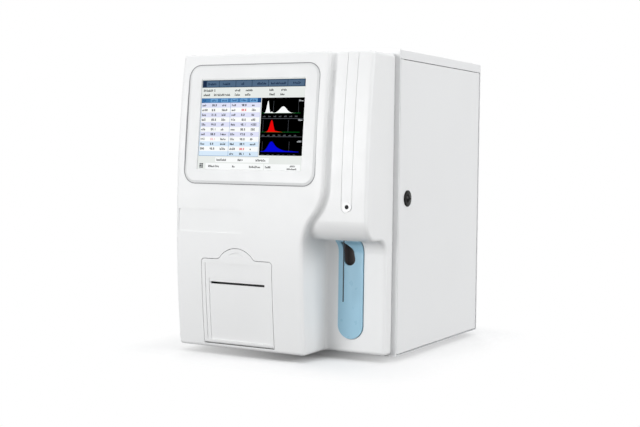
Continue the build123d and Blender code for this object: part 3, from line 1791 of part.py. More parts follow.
# Pan-head screws of the housing and of the moulded front
with BuildPart() as pan_screws:
    places = [((-half_width, *place), (1, 0, 0)) for place in left_screw_places]
    places += [((x, rear_y, z), (0, -1, 0)) for x, z in rear_screw_places]
    places += [((x, within(sheet), z), (0, -1, 0)) for x, z in boss_places]
    for start, inward in places:
        outward = tuple(-value for value in inward)
        rod(start, inward, shank_radius, screw_length)
        rod(start, outward, screw_head_radius, screw_head_height)
finish(pan_screws, "pan_screws")
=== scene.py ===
"""Looks of a bench-top blood cell counter for a veterinary clinic.

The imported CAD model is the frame. This script gives every part its material, puts the lit
picture on the screen, dresses the small parts, and sets up the camera, floor and light.
Lengths are in metres, or in mm where a note says so, X to the viewer's right, Y into the
machine, Z up.
"""
import json
import math

import bmesh
import bpy
import numpy as np
from mathutils import Matrix, Vector


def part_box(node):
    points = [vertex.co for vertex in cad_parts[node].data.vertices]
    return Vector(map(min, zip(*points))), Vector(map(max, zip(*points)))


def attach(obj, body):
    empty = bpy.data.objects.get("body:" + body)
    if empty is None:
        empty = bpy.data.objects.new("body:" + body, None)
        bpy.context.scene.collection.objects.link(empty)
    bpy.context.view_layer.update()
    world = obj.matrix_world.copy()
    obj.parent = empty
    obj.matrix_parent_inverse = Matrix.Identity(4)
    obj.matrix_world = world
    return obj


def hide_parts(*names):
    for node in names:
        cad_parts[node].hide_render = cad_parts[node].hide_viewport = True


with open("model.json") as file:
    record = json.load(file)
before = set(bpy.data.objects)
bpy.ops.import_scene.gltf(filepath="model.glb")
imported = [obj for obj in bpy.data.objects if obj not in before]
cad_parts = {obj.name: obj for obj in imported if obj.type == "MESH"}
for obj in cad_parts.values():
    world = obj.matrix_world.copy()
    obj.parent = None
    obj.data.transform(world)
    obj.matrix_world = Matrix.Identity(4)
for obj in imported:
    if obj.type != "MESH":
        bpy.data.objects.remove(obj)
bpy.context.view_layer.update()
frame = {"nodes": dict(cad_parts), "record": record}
nodes = frame["nodes"]
MM = 0.001
SCREEN_TILT = 0.0825  # how far the screen leans back, in radians


# Materials
def shader(name, color, rough, metal=0.0, **sockets):
    """A node material with its main shader's constants set. Extra sockets go by name."""
    mat = bpy.data.materials.new(name)
    mat.use_nodes = True
    main = mat.node_tree.nodes["Principled BSDF"]
    main.inputs["Base Color"].default_value = (*color, 1)
    main.inputs["Roughness"].default_value = rough
    main.inputs["Metallic"].default_value = metal
    for key, value in sockets.items():
        main.inputs[key.replace("_", " ")].default_value = value
    return mat


def node(mat, kind, **settings):
    """A new node in a material, with its attributes and input values set."""
    made = mat.node_tree.nodes.new(kind)
    for key, value in settings.items():
        if key in made.inputs:
            made.inputs[key].default_value = value
        else:
            setattr(made, key, value)
    return made


def link(mat, source, target):
    """Join an output socket to an input socket."""
    mat.node_tree.links.new(source, target)


def noise(mat, scale, detail=2.0, stretch=(1, 1, 1)):
    """Noise in the part's own coordinates, scale in cells per metre, drawn out along an axis."""
    place = node(mat, "ShaderNodeTexCoord")
    mapping = node(mat, "ShaderNodeMapping")
    mapping.inputs["Scale"].default_value = stretch
    link(mat, place.outputs["Object"], mapping.inputs["Vector"])
    made = node(mat, "ShaderNodeTexNoise", Scale=scale, Detail=detail)
    link(mat, mapping.outputs["Vector"], made.inputs["Vector"])
    return made.outputs["Fac"]


def ramp(mat, value, low, high, stops=(0.3, 0.7)):
    """Map a value between two stops to a number or colour range."""
    made = node(mat, "ShaderNodeMapRange")
    made.inputs["From Min"].default_value = stops[0]
    made.inputs["From Max"].default_value = stops[1]
    made.inputs["To Min"].default_value = low
    made.inputs["To Max"].default_value = high
    link(mat, value, made.inputs["Value"])
    return made.outputs["Result"]


def vary_color(mat, value, one, other, stops=(0.3, 0.7)):
    """Blend the base colour between two colours by a value."""
    made = node(mat, "ShaderNodeValToRGB")
    made.color_ramp.elements[0].position = stops[0]
    made.color_ramp.elements[1].position = stops[1]
    made.color_ramp.elements[0].color = (*one, 1)
    made.color_ramp.elements[1].color = (*other, 1)
    link(mat, value, made.inputs["Fac"])
    link(mat, made.outputs["Color"], mat.node_tree.nodes["Principled BSDF"].inputs["Base Color"])


def vary_rough(mat, value, low, high):
    """Let the roughness follow a value."""
    main = mat.node_tree.nodes["Principled BSDF"]
    link(mat, ramp(mat, value, low, high), main.inputs["Roughness"])


def bump(mat, value, distance):
    """Raise the surface by a value, distance in metres."""
    made = node(mat, "ShaderNodeBump", Strength=1.0, Distance=distance)
    link(mat, value, made.inputs["Height"])
    link(mat, made.outputs["Normal"], mat.node_tree.nodes["Principled BSDF"].inputs["Normal"])


def moulded(name, color, rough, grain=1900.0, depth=0.00004, **sockets):
    """Moulded plastic: a fine even grain, and faint flow clouds in colour and gloss."""
    mat = shader(name, color, rough, **sockets)
    cloud = noise(mat, 9.0, 3.0)
    vary_color(mat, cloud, [c * 0.985 for c in color], [min(1.0, c * 1.01) for c in color])
    vary_rough(mat, noise(mat, 60.0, 4.0), rough - 0.04, rough + 0.05)
    bump(mat, noise(mat, grain, 2.0), depth)
    return mat


def powder(name, color, rough):
    """Powder coat on sheet metal: orange peel about 1 mm across, with a finer speckle in gloss."""
    mat = shader(name, color, rough, Coat_Weight=0.15, Coat_Roughness=0.3)
    vary_color(mat, noise(mat, 7.0, 3.0), [c * 0.985 for c in color], color)
    vary_rough(mat, noise(mat, 1500.0, 1.0), rough - 0.05, rough + 0.06)
    bump(mat, noise(mat, 850.0, 1.5), 0.00003)
    return mat


def brushed(name, color, rough, along=(0, 0, 1), lines=900.0):
    """Ground or drawn metal: fine lines along one axis in gloss, colour and height."""
    mat = shader(name, color, rough, metal=1.0)
    stretch = [0.03 if part else 1.0 for part in along]
    grain = noise(mat, lines, 3.0, stretch)
    vary_color(mat, grain, [c * 0.82 for c in color], color)
    vary_rough(mat, grain, rough - 0.07, rough + 0.1)
    bump(mat, grain, 0.00001)
    return mat


def spangled(name, color, rough):
    """Zinc on sheet steel: flat crystals about 6 mm across, each with its own shade and gloss."""
    mat = shader(name, color, rough, metal=1.0)
    place = node(mat, "ShaderNodeTexCoord")
    cells = node(mat, "ShaderNodeTexVoronoi", Scale=170.0)
    link(mat, place.outputs["Object"], cells.inputs["Vector"])
    shade = node(mat, "ShaderNodeSeparateColor")
    link(mat, cells.outputs["Color"], shade.inputs["Color"])
    vary_color(mat, shade.outputs["Red"], [c * 0.88 for c in color], color, (0, 1))
    link(mat, ramp(mat, shade.outputs["Green"], rough - 0.05, rough + 0.08, (0, 1)),
         mat.node_tree.nodes["Principled BSDF"].inputs["Roughness"])
    bump(mat, noise(mat, 300.0, 2.0), 0.00001)
    return mat


def clear(name, color, rough, through):
    """Clear or cloudy plastic with faint waves in its surface."""
    mat = shader(name, color, rough, Transmission_Weight=through, IOR=1.46)
    bump(mat, noise(mat, 120.0, 1.0), 0.00002)
    return mat


def board(name):
    """Green circuit board: solder mask over lighter tracks about 0.5 mm wide."""
    mat = shader(name, (0.02, 0.16, 0.07), 0.38)
    place = node(mat, "ShaderNodeTexCoord")
    tracks = node(mat, "ShaderNodeTexBrick", Scale=60.0)
    tracks.inputs["Color1"].default_value = (0, 0, 0, 1)
    tracks.inputs["Color2"].default_value = (0.25, 0.25, 0.25, 1)
    tracks.inputs["Mortar"].default_value = (1, 1, 1, 1)
    tracks.inputs["Mortar Size"].default_value = 0.03
    mapping = node(mat, "ShaderNodeMapping")
    mapping.inputs["Rotation"].default_value = (0, math.pi / 2, 0)
    link(mat, place.outputs["Object"], mapping.inputs["Vector"])
    link(mat, mapping.outputs["Vector"], tracks.inputs["Vector"])
    vary_color(mat, tracks.outputs["Color"], (0.015, 0.14, 0.06), (0.03, 0.24, 0.11), (0, 1))
    bump(mat, tracks.outputs["Color"], 0.00003)
    return mat


cover_white = (0.835, 0.837, 0.835)
looks = {
    "cover_plastic": moulded("cover_plastic", cover_white, 0.4),
    "bezel_plastic": moulded("bezel_plastic", (0.76, 0.765, 0.765), 0.36, grain=1500.0),
    "screen_glass": moulded("screen_glass", (0.02, 0.021, 0.024), 0.12, depth=0.000002),
    "screen_case": moulded("screen_case", (0.02, 0.02, 0.022), 0.5),
    "circuit_board": board("circuit_board"),
    "ring_plastic": moulded("ring_plastic", (0.9, 0.9, 0.9), 0.16, depth=0.000003),
    "indicator_glass": moulded(
        "indicator_glass", (0.004, 0.004, 0.005), 0.1, depth=0.000002, Specular_IOR_Level=0.1),
    "lock_black": moulded(
        "lock_black", (0.006, 0.006, 0.006), 0.2, depth=0.000003, Specular_IOR_Level=0.1),
    "key_plastic": moulded("key_plastic", (0.295, 0.52, 0.66), 0.3, grain=1500.0, depth=0.000004),
    "black_plastic": moulded("black_plastic", (0.012, 0.012, 0.013), 0.42),
    "grey_plastic": moulded("grey_plastic", (0.2, 0.21, 0.22), 0.45),
    "well_plastic": moulded("well_plastic", (0.16, 0.135, 0.13), 0.75),
    "thermal_paper": moulded("thermal_paper", (0.8, 0.8, 0.77), 0.75, grain=700.0),
    "roller_rubber": moulded("roller_rubber", (0.02, 0.02, 0.02), 0.62, grain=2600.0),
    "foot_rubber": moulded("foot_rubber", (0.018, 0.018, 0.018), 0.72, grain=1300.0),
    "painted_sheet": powder("painted_sheet", (0.8, 0.803, 0.805), 0.36),
    "zinc_sheet": spangled("zinc_sheet", (0.64, 0.65, 0.66), 0.46),
    "steel": brushed("steel", (0.55, 0.55, 0.56), 0.28),
    "plated_screw": brushed("plated_screw", (0.6, 0.6, 0.6), 0.3, along=(0, 0, 0)),
    "aluminium_plate": brushed("aluminium_plate", (0.7, 0.71, 0.72), 0.35),
    "white_acetal": moulded("white_acetal", (0.72, 0.72, 0.69), 0.38),
    "clear_plastic": clear("clear_plastic", (0.86, 0.93, 0.95), 0.12, 0.85),
    "brass": brushed("brass", (0.7, 0.5, 0.2), 0.3, along=(0, 1, 0)),
    "supply_case": brushed("supply_case", (0.6, 0.61, 0.62), 0.4, along=(1, 0, 0)),
}
for row in frame["record"]["subparts"]:
    part = nodes[row["node"]]
    part.data.materials.clear()
    part.data.materials.append(looks[row["material_slot"]])
# Painted dark reflection: the probe's steel is near black, darker than the rods behind it, so that it shows
# as a dark line instead of mirroring the white surroundings
nodes["probe"].data.materials[0] = brushed("needle_steel_painted_dark", (0.045, 0.055, 0.065), 0.3, lines=2500.0)


# Camera, floor and light
def aim(azimuth, pitch, roll):
    """Right, up and forward directions of a camera, angles in radians."""
    level = math.cos(pitch)
    forward = Vector((-math.sin(azimuth) * level, math.cos(azimuth) * level, -math.sin(pitch)))
    right = Vector((math.cos(azimuth), math.sin(azimuth), 0))
    up = right.cross(forward)
    return (
        right * math.cos(roll) + up * math.sin(roll),
        up * math.cos(roll) - right * math.sin(roll),
        forward,
    )


camera_place = (0.85104, -1.61369, 0.29129)
camera_data = bpy.data.cameras.new("camera")
camera = bpy.data.objects.new("camera", camera_data)
bpy.context.scene.collection.objects.link(camera)
camera_data.sensor_width = 36.0
camera_data.lens = 66.74
camera_data.shift_y = -0.0543
camera_data.clip_start = 0.05
camera_data.clip_end = 60.0
right, up, forward = aim(azimuth=0.4984, pitch=0.0223, roll=0.01415)
camera.matrix_world = Matrix((
    (right.x, up.x, -forward.x, camera_place[0]),
    (right.y, up.y, -forward.y, camera_place[1]),
    (right.z, up.z, -forward.z, camera_place[2]),
    (0, 0, 0, 1),
))
bpy.context.scene.camera = camera
bpy.context.scene.view_settings.view_transform = "Standard"
bpy.context.scene.view_settings.look = "None"


def area_light(name, place, target, size, power):
    """Square soft light at a place, turned to a target."""
    data = bpy.data.lights.new(name, "AREA")
    data.size = size
    data.energy = power
    lamp = bpy.data.objects.new(name, data)
    bpy.context.scene.collection.objects.link(lamp)
    lamp.location = place
    lamp.rotation_euler = (Vector(target) - Vector(place)).to_track_quat("-Z", "Y").to_euler()


area_light("key_light", (-1.9, -4.6, 0.4), (0, -0.1, 0.2), 2.4, 178.0)
area_light("fill_light", (3.0, -3.6, 0.5), (0.05, -0.15, 0.2), 1.6, 22.0)
area_light("top_light", (0.2, -0.4, 3.2), (0, 0, 0.2), 2.2, 30.0)
area_light("side_light", (4.4, 0.5, 1.2), (0, 0, 0.25), 2.0, 92.0)
area_light("back_light", (-2.6, 4.2, 1.4), (0, 0, 0.25), 2.0, 80.0)


def background_seen(tree):
    """1 for rays from the camera, mirrors and clear plastic, which see a white background."""
    path = tree.nodes.new("ShaderNodeLightPath")
    total = path.outputs["Is Camera Ray"]
    for other in ("Is Glossy Ray", "Is Transmission Ray"):
        larger = tree.nodes.new("ShaderNodeMath")
        larger.operation = "MAXIMUM"
        tree.links.new(total, larger.inputs[0])
        tree.links.new(path.outputs[other], larger.inputs[1])
        total = larger.outputs[0]
    return total


world = bpy.data.worlds.new("studio")
bpy.context.scene.world = world
world.use_nodes = True
tree = world.node_tree
backdrop = tree.nodes["Background"]
backdrop.inputs["Color"].default_value = (0.96, 0.98, 1.0, 1)
backdrop.inputs["Strength"].default_value = 0.5
seen = tree.nodes.new("ShaderNodeBackground")
seen.inputs["Color"].default_value = (1, 1, 1, 1)
seen.inputs["Strength"].default_value = 1.0
both = tree.nodes.new("ShaderNodeMixShader")
tree.links.new(background_seen(tree), both.inputs["Fac"])
tree.links.new(backdrop.outputs["Background"], both.inputs[1])
tree.links.new(seen.outputs["Background"], both.inputs[2])
tree.links.new(both.outputs["Shader"], tree.nodes["World Output"].inputs["Surface"])


def mesh_object(name, vertices, faces, mat=None, smooth=False):
    """Object from points and faces, at the origin."""
    data = bpy.data.meshes.new(name)
    data.from_pydata([tuple(v) for v in vertices], [], [tuple(f) for f in faces])
    if mat is not None:
        data.materials.append(mat)
    data.polygons.foreach_set("use_smooth", [smooth] * len(data.polygons))
    data.update()
    made = bpy.data.objects.new(name, data)
    bpy.context.scene.collection.objects.link(made)
    return made


def floor_material():
    """White floor that takes the shadow close to the housing and fades into the backdrop beyond it."""
    mat = shader("floor", (0.97, 0.97, 0.97), 0.8, Specular_IOR_Level=0.1)
    main = mat.node_tree.nodes["Principled BSDF"]
    place = node(mat, "ShaderNodeTexCoord")
    value = place.outputs["Object"]
    # How far a place lies outside the rectangle that the housing covers
    half_plan = (0.15, 0.19, 0)
    for operation, other in (("ABSOLUTE", None), ("SUBTRACT", half_plan), ("MAXIMUM", (0, 0, 0))):
        step = node(mat, "ShaderNodeVectorMath", operation=operation)
        link(mat, value, step.inputs[0])
        if other:
            step.inputs[1].default_value = other
        value = step.outputs["Vector"]
    away = node(mat, "ShaderNodeVectorMath", operation="LENGTH")
    link(mat, value, away.inputs[0])
    light = node(mat, "ShaderNodeEmission")
    light.inputs["Color"].default_value = (1, 1, 1, 1)
    fade = node(mat, "ShaderNodeMixShader")
    # Painted light: a glow whitens the floor by place. It is least at the housing and near its bay, where
    # the shadow is deepest, and grows away from them
    edge_fade, bay_fade, bay_x = 0.1, 0.17, 0.03
    sides = node(mat, "ShaderNodeSeparateXYZ")
    link(mat, place.outputs["Object"], sides.inputs["Vector"])
    shift = node(mat, "ShaderNodeMath", operation="SUBTRACT")
    link(mat, sides.outputs["X"], shift.inputs[0])
    shift.inputs[1].default_value = bay_x
    offset = node(mat, "ShaderNodeMath", operation="ABSOLUTE")
    link(mat, shift.outputs["Value"], offset.inputs[0])
    most = node(mat, "ShaderNodeMath", operation="MAXIMUM")
    link(mat, ramp(mat, away.outputs["Value"], 0.0, 1.0, (0.0, edge_fade)), most.inputs[0])
    link(mat, ramp(mat, offset.outputs["Value"], 0.03, 0.5, (0.0, bay_fade)), most.inputs[1])
    link(mat, most.outputs["Value"], fade.inputs["Fac"])
    link(mat, main.outputs["BSDF"], fade.inputs[1])
    link(mat, light.outputs["Emission"], fade.inputs[2])
    dull = node(mat, "ShaderNodeBsdfDiffuse")
    dull.inputs["Color"].default_value = (0.3, 0.3, 0.3, 1)
    mix = node(mat, "ShaderNodeMixShader")
    link(mat, background_seen(mat.node_tree), mix.inputs["Fac"])
    link(mat, dull.outputs["BSDF"], mix.inputs[1])
    link(mat, fade.outputs["Shader"], mix.inputs[2])
    link(mat, mix.outputs["Shader"], mat.node_tree.nodes["Material Output"].inputs["Surface"])
    return mat


reach = 30.0
floor = mesh_object(
    "floor",
    [(-reach, -reach, 0), (reach, -reach, 0), (reach, reach, 0), (-reach, reach, 0)],
    [(0, 1, 2, 3)],
    floor_material(),
)


# Picture on the screen
def screen_place(lift):
    """Point over the middle of the glass, lifted by mm, and the screen's across, upward and outward."""
    low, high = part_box("display_glass")
    lean, upright = math.sin(SCREEN_TILT), math.cos(SCREEN_TILT)
    across, upward = np.array((1.0, 0.0, 0.0)), np.array((0.0, lean, upright))
    outward = np.array((0.0, -upright, lean))
    return np.array((low + high) / 2) + outward * lift * MM, across, upward, outward


def ink(name, levels):
    """Lit colour behind glass, given in 0 to 255: it glows, with faint clouds of the backlight."""
    mat = shader(name, (0.0, 0.0, 0.0), 0.3, Specular_IOR_Level=0.0)
    main = mat.node_tree.nodes["Principled BSDF"]
    linear = [((level / 255 + 0.055) / 1.055) ** 2.4 if level else 0.0 for level in levels]
    main.inputs["Emission Color"].default_value = (*linear, 1)
    cloud = ramp(mat, noise(mat, 18.0, 2.0), 0.97, 1.02)
    link(mat, cloud, main.inputs["Emission Strength"])
    return mat


inks = {
    "page": (232, 236, 233),
    "white": (250, 252, 252),
    "lavender": (224, 227, 248),
    "sky": (216, 234, 250),
    "rule": (110, 150, 195),
    "slate": (50, 70, 92),
    "tab": (82, 106, 132),
    "tab_dark": (28, 44, 72),
    "header": (70, 124, 176),
    "header_dark": (30, 76, 132),
    "header_light": (112, 166, 212),
    "black": (0, 0, 0),
    "text": (8, 10, 16),
    "warn": (222, 60, 72),
    "faint_warn": (236, 170, 176),
    "red": (232, 8, 10),
    "blue": (6, 10, 214),
    "green": (6, 96, 34),
    "grey": (92, 96, 102),
    "label": (196, 200, 204),
}
ink_names = list(inks)

# Bars of a seven-bar figure, as left, top, right and bottom shares of its cell. The figures run
# from 0 to 9, and the marks are bars that only look like letters
figure_bars = {
    "a": (0.0, 0.0, 1.0, 0.25),
    "b": (0.63, 0.0, 1.0, 0.55),
    "c": (0.63, 0.45, 1.0, 1.0),
    "d": (0.0, 0.75, 1.0, 1.0),
    "e": (0.0, 0.45, 0.37, 1.0),
    "f": (0.0, 0.0, 0.37, 0.55),
    "g": (0.0, 0.38, 1.0, 0.62),
}
figures = ("abcdef", "bc", "abdeg", "abcdg", "bcfg", "acdfg", "acdefg", "abc", "abcdefg", "abcdfg")
marks = ("ceg", "cdeg", "bcefg", "deg", "cdefg", "adeg", "ace", "bcdeg", "efg")


class Picture:
    """Flat shapes on the screen. Places are shares of its width and height, from the top left."""

    text_layer = 5

    def __init__(self, centre, across, upward, outward, width, height):
        self.corner = centre - across * width / 2 + upward * height / 2
        self.across = across * width
        self.upward = upward * height
        self.outward = outward
        self.slim = height / width
        self.points = []
        self.faces = []
        self.colors = []

    def shape(self, outline, color, layer):
        """Polygon in one colour, lifted by its layer."""
        first = len(self.points)
        lift = self.outward * 0.00002 * (layer + 1)
        for u, v in outline:
            self.points.append(self.corner + self.across * u - self.upward * v + lift)
        self.faces.append(range(first, len(self.points)))
        self.colors.append(ink_names.index(color))

    def bar(self, left, top, right, bottom, color, layer):
        """Rectangle between two corners."""
        self.shape([(left, bottom), (right, bottom), (right, top), (left, top)], color, layer)

    def mark(self, left, middle, height, bars, color):
        """One figure or letter-like mark made of bars. Returns where the next one starts."""
        width = 0.6 * height * self.slim
        top = middle - height / 2
        for name in bars:
            x0, y0, x1, y1 = figure_bars[name]
            x0, x1, y0, y1 = left + x0 * width, left + x1 * width, top + y0 * height, top + y1 * height
            self.bar(x0, y0, x1, y1, color, self.text_layer)
        return left + 1.25 * width

    def number(self, left, middle, value, color, height=0.024):
        """Number with one decimal."""
        place = left
        for sign in f"{value:.1f}":
            if sign == ".":
                dot, foot = 0.2 * height, middle + height / 2
                self.bar(place, foot - dot, place + dot * self.slim, foot, color, self.text_layer)
                place += 2 * dot * self.slim
            else:
                place = self.mark(place, middle, height, figures[int(sign)], color)

    def words(self, left, right, middle, color, rng, height=0.024):
        """Row of letter-like marks that stands for a word."""
        place = left
        while place < right - 0.3 * height * self.slim:
            place = self.mark(place, middle, height, marks[rng.integers(len(marks))], color)

    def curve(self, left, right, base, height, profile, color, layer):
        """Area under a profile, which gives the height from 0 to 1 at a place across the page."""
        places = np.linspace(left, right, 120)
        tops = [(u, base - height * float(profile(u))) for u in places]
        for one, other in zip(tops[:-1], tops[1:]):
            self.shape([(one[0], base), (other[0], base), other, one], color, layer)


def hump(place, width):
    """Bell curve exp(-((u - place) / width)^2)."""
    return lambda u: np.exp(-(((u - place) / width) ** 2))


def draw_tabs(page, rng):
    """Bar of six tabs across the top."""
    page.bar(0, 0, 1, 0.084, "slate", 1)
    page.bar(0.006, 0.014, 0.036, 0.072, "tab_dark", 2)
    edges = (0.042, 0.167, 0.331, 0.489, 0.647, 0.83, 0.988)
    words = ((0.055, 0.14), (0.203, 0.28), (0.386, 0.416), (0.54, 0.62), (0.672, 0.82), (0.88, 0.95))
    for left, right, word in zip(edges[:-1], edges[1:], words):
        page.bar(left + 0.003, 0.01, right - 0.003, 0.076, "tab", 2)
        page.words(*word, 0.045, "tab_dark", rng, 0.026)


def draw_particulars(page, rng):
    """Two rows that name the sample."""
    upper = ((0.0155, 0.103), (0.12, 0.137), (0.326, 0.374), (0.432, 0.495), (0.66, 0.694), (0.771, 0.83))
    lower = ((0.0155, 0.088), (0.12, 0.287), (0.326, 0.374), (0.427, 0.485), (0.66, 0.718), (0.766, 0.81))
    for middle, words in ((0.117, upper), (0.166, lower)):
        for left, right in words:
            page.words(left, right, middle, "text", rng)


def draw_table(page, rng):
    """Two-part table of eleven rows: name, value and unit, with two values out of range."""
    top, first, last, split, edge, rows = 0.203, 0.255, 0.848, 0.293, 0.587, 11
    page.bar(0, top, edge, first, "header", 1)
    page.bar(0, top, 0.03, first, "header_dark", 2)
    page.bar(0.552, top, edge, first, "header_dark", 2)
    captions = ((0.012, 0.044), (0.1, 0.15), (0.205, 0.25), (0.3, 0.345), (0.395, 0.44), (0.49, 0.54))
    for left, right in captions:
        shade = "header_light" if left > 0.02 else "header"
        page.bar(left - 0.01, top + 0.006, right + 0.012, first - 0.006, shade, 3)
        page.words(left, right, (top + first) / 2, "header_dark", rng, 0.022)
    pitch = (last - first) / rows
    page.bar(0, first, edge, last, "white", 1)
    for row in range(rows):
        high_side = first + row * pitch
        middle = high_side + pitch / 2
        if row % 2 == 0:
            page.bar(0.004, high_side, edge - 0.008, high_side + pitch, "sky" if row > 7 else "lavender", 2)
        for start in (0.0, split):
            if start == 0 and row == rows - 1:
                continue
            color = "text"
            if row in (1, 9) and start:
                color = "warn"
            elif row == 7 and not start:
                color = "faint_warn"
            page.words(start + 0.012, start + rng.uniform(0.045, 0.06), middle, "text", rng)
            page.number(start + 0.108, middle, rng.uniform(2, 60), color)
            page.words(start + 0.208, start + rng.uniform(0.225, 0.262), middle, "text", rng)
    page.bar(0, first, 0.003, last, "rule", 4)
    page.bar(split - 0.003, first, split, last, "rule", 4)
    page.bar(0, last - 0.004, edge, last, "rule", 4)
    page.bar(edge - 0.006, first, edge - 0.003, last, "rule", 4)


def draw_plots(page, rng):
    """Three histograms on black, each with its axis, gates and label."""
    page.bar(0.592, 0.203, 1, 0.834, "black", 1)

    def white_cells(u):
        return np.maximum.reduce([
            hump(0.655, 0.0145)(u), 0.11 * hump(0.692, 0.014)(u), 0.534 * hump(0.8, 0.045)(u)])

    def red_cells(u):
        return np.maximum(hump(0.698, 0.0235)(u), 0.1 * hump(0.725, 0.045)(u))

    def platelets(u):
        return 0.76 * hump(0.7, 0.038)(u) + 0.36 * hump(0.745, 0.06)(u) + 0.07 * hump(0.86, 0.08)(u)

    plots = (
        (0.371, 0.134, "white", (0.706, 0.94), white_cells),
        (0.578, 0.131, "red", (0.615, 0.853), red_cells),
        (0.791, 0.112, "blue", (0.618, 0.87), platelets),
    )
    for base, height, color, gates, profile in plots:
        page.curve(0.612, 0.945, base, height, profile, color, 3)
        page.bar(0.605, base - 0.002, 0.963, base + 0.003, "blue" if color == "blue" else "green", 2)
        page.words(0.945, 0.982, base - height, "label", rng, 0.018)
        for tick in range(7):
            place = 0.612 + tick * 0.05
            page.words(place, place + 0.022, base + 0.037, "grey", rng, 0.015)
        for gate in gates:
            for dash in range(12):
                high_side = base - height * 0.98 + dash * height / 12
                page.bar(gate, high_side, gate + 0.003, high_side + height / 22, "grey", 2)
    for line in (0.43, 0.627):
        page.bar(0.6, line, 0.99, line + 0.004, "grey", 2)


def draw_buttons(page, rng):
    """Two rows of buttons under the table, with a small icon at the left."""
    page.bar(0.17, 0.862, 0.69, 0.915, "white", 1)
    for left, right in ((0.183, 0.28), (0.39, 0.438), (0.565, 0.66)):
        page.words(left, right, 0.889, "text", rng)
    for left, right in ((0.075, 0.64), (0.648, 0.985)):
        page.bar(left, 0.928, right, 0.994, "white", 1)
    for left, right in ((0.103, 0.21), (0.34, 0.368), (0.505, 0.613), (0.657, 0.715)):
        page.words(left, right, 0.962, "text", rng)
    page.words(0.89, 0.935, 0.948, "text", rng, 0.018)
    page.words(0.862, 0.955, 0.978, "text", rng, 0.018)
    for row in range(3):
        for column in range(2):
            left, top = 0.0145 + column * 0.019, 0.932 + row * 0.018
            page.bar(left, top, left + 0.016, top + 0.014, "text" if (row + column) % 2 else "grey", 2)


def screen_picture():
    """Results page in generic form: tabs, a two-part table, three histograms and two button rows."""
    lift, drop = 0.93, 0.8  # mm from the middle of the glass, out to its face and down
    middle, across, upward, outward = screen_place(lift)
    border = Picture(middle, across, upward, outward, 171.6 * MM, 129.2 * MM)
    border.bar(0, 0, 1, 1, "page", 0)
    page = Picture(middle - upward * drop * MM, across, upward, outward, 170.6 * MM, 128.0 * MM)
    rng = np.random.default_rng(4)
    for draw in (draw_tabs, draw_particulars, draw_table, draw_plots, draw_buttons):
        draw(page, rng)
    first = len(border.points)
    faces = border.faces + [[first + corner for corner in face] for face in page.faces]
    made = mesh_object("screen_picture", border.points + page.points, faces)
    for name in ink_names:
        made.data.materials.append(ink("ink_" + name, inks[name]))
    made.data.polygons.foreach_set("material_index", border.colors + page.colors)
    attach(made, "housing")


# Small parts, turned and pressed
def axes_about(axis):
    """Two directions square to an axis, and the axis itself."""
    axis = np.array(axis, float)
    side = np.array((0.0, 0.0, 1.0)) if abs(axis[2]) < 0.5 else np.array((1.0, 0.0, 0.0))
    one = np.cross(side, axis)
    one /= np.linalg.norm(one)
    return one, np.cross(axis, one), axis


def grid(points):
    """Points and faces of a grid, rows by columns, whose rows close on themselves."""
    rows, columns = points.shape[:2]
    column = np.arange(columns)
    after = (column + 1) % columns
    low = np.arange(rows - 1)[:, None] * columns
    faces = np.stack([low + column, low + after, low + columns + after, low + columns + column], axis=-1)
    return points.reshape(-1, 3), faces.reshape(-1, 4)


def turned(profile, start, axis, count):
    """Surface of revolution: start + h axis + r (cos t, sin t) for each (h, r) of a profile in mm."""
    one, two, along = axes_about(axis)
    angle = np.linspace(0, 2 * np.pi, count, endpoint=False)
    ring = np.outer(np.cos(angle), one) + np.outer(np.sin(angle), two)
    height, radius = np.array(profile, float).T[:, :, None, None]
    return grid(np.array(start) + MM * (height * along + radius * ring))


def disc(place, outward, rim, rings, count, height):
    """Height field on a disc: place + u one + v two + h(r, u, v) outward mm, from the rim to the middle."""
    one, two, axis = axes_about(outward)
    radius = np.linspace(rim, 0.0, rings)[:, None]
    angle = np.linspace(0, 2 * np.pi, count, endpoint=False)[None, :]
    u, v = radius * np.cos(angle), radius * np.sin(angle)
    lift = height(radius, u, v)
    return grid(np.array(place) + MM * (u[..., None] * one + v[..., None] * two + lift[..., None] * axis))


def slope_off(value, edge, width):
    """1 inside an edge, falling to 0 over a width, on both sides of zero."""
    return np.clip((edge - np.abs(value)) / width, 0, 1)


def span_of(middle, half):
    """Two limits about a middle."""
    return (middle - half, middle + half)


def cuboid(x, y, z, chamfer=0.1):
    """Box between limits in mm, its long edges broken by a chamfer along Y."""
    (x0, x1), (z0, z1), c = x, z, chamfer
    outline = [
        (x0 + c, z0), (x1 - c, z0), (x1, z0 + c), (x1, z1 - c),
        (x1 - c, z1), (x0 + c, z1), (x0, z1 - c), (x0, z0 + c),
    ]
    points = [(a * MM, depth * MM, b * MM) for depth in y for a, b in outline]
    faces = [tuple(range(8)), tuple(range(15, 7, -1))]
    faces += [(k, 8 + k, 8 + (k + 1) % 8, (k + 1) % 8) for k in range(8)]
    return points, faces


def joined(parts):
    """One list of points and faces from several."""
    points, faces = [], []
    for more, links in parts:
        first = len(points)
        points.extend(more)
        faces.extend([tuple(first + corner for corner in face) for face in links])
    return points, faces


def dressed(name, shape, body, slot, look=None, replaced=None):
    """Object of a shape, riding a body. Poles and seams are merged, and edges over 40 degrees stay sharp."""
    made = mesh_object(name, *shape, look or looks[slot], smooth=True)
    work = bmesh.new()
    work.from_mesh(made.data)
    bmesh.ops.remove_doubles(work, verts=work.verts, dist=1e-7)
    for edge in work.edges:
        if len(edge.link_faces) == 2 and edge.calc_face_angle() > math.radians(40):
            edge.smooth = False
    work.to_mesh(made.data)
    work.free()
    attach(made, body)
    if replaced:
        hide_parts(replaced)


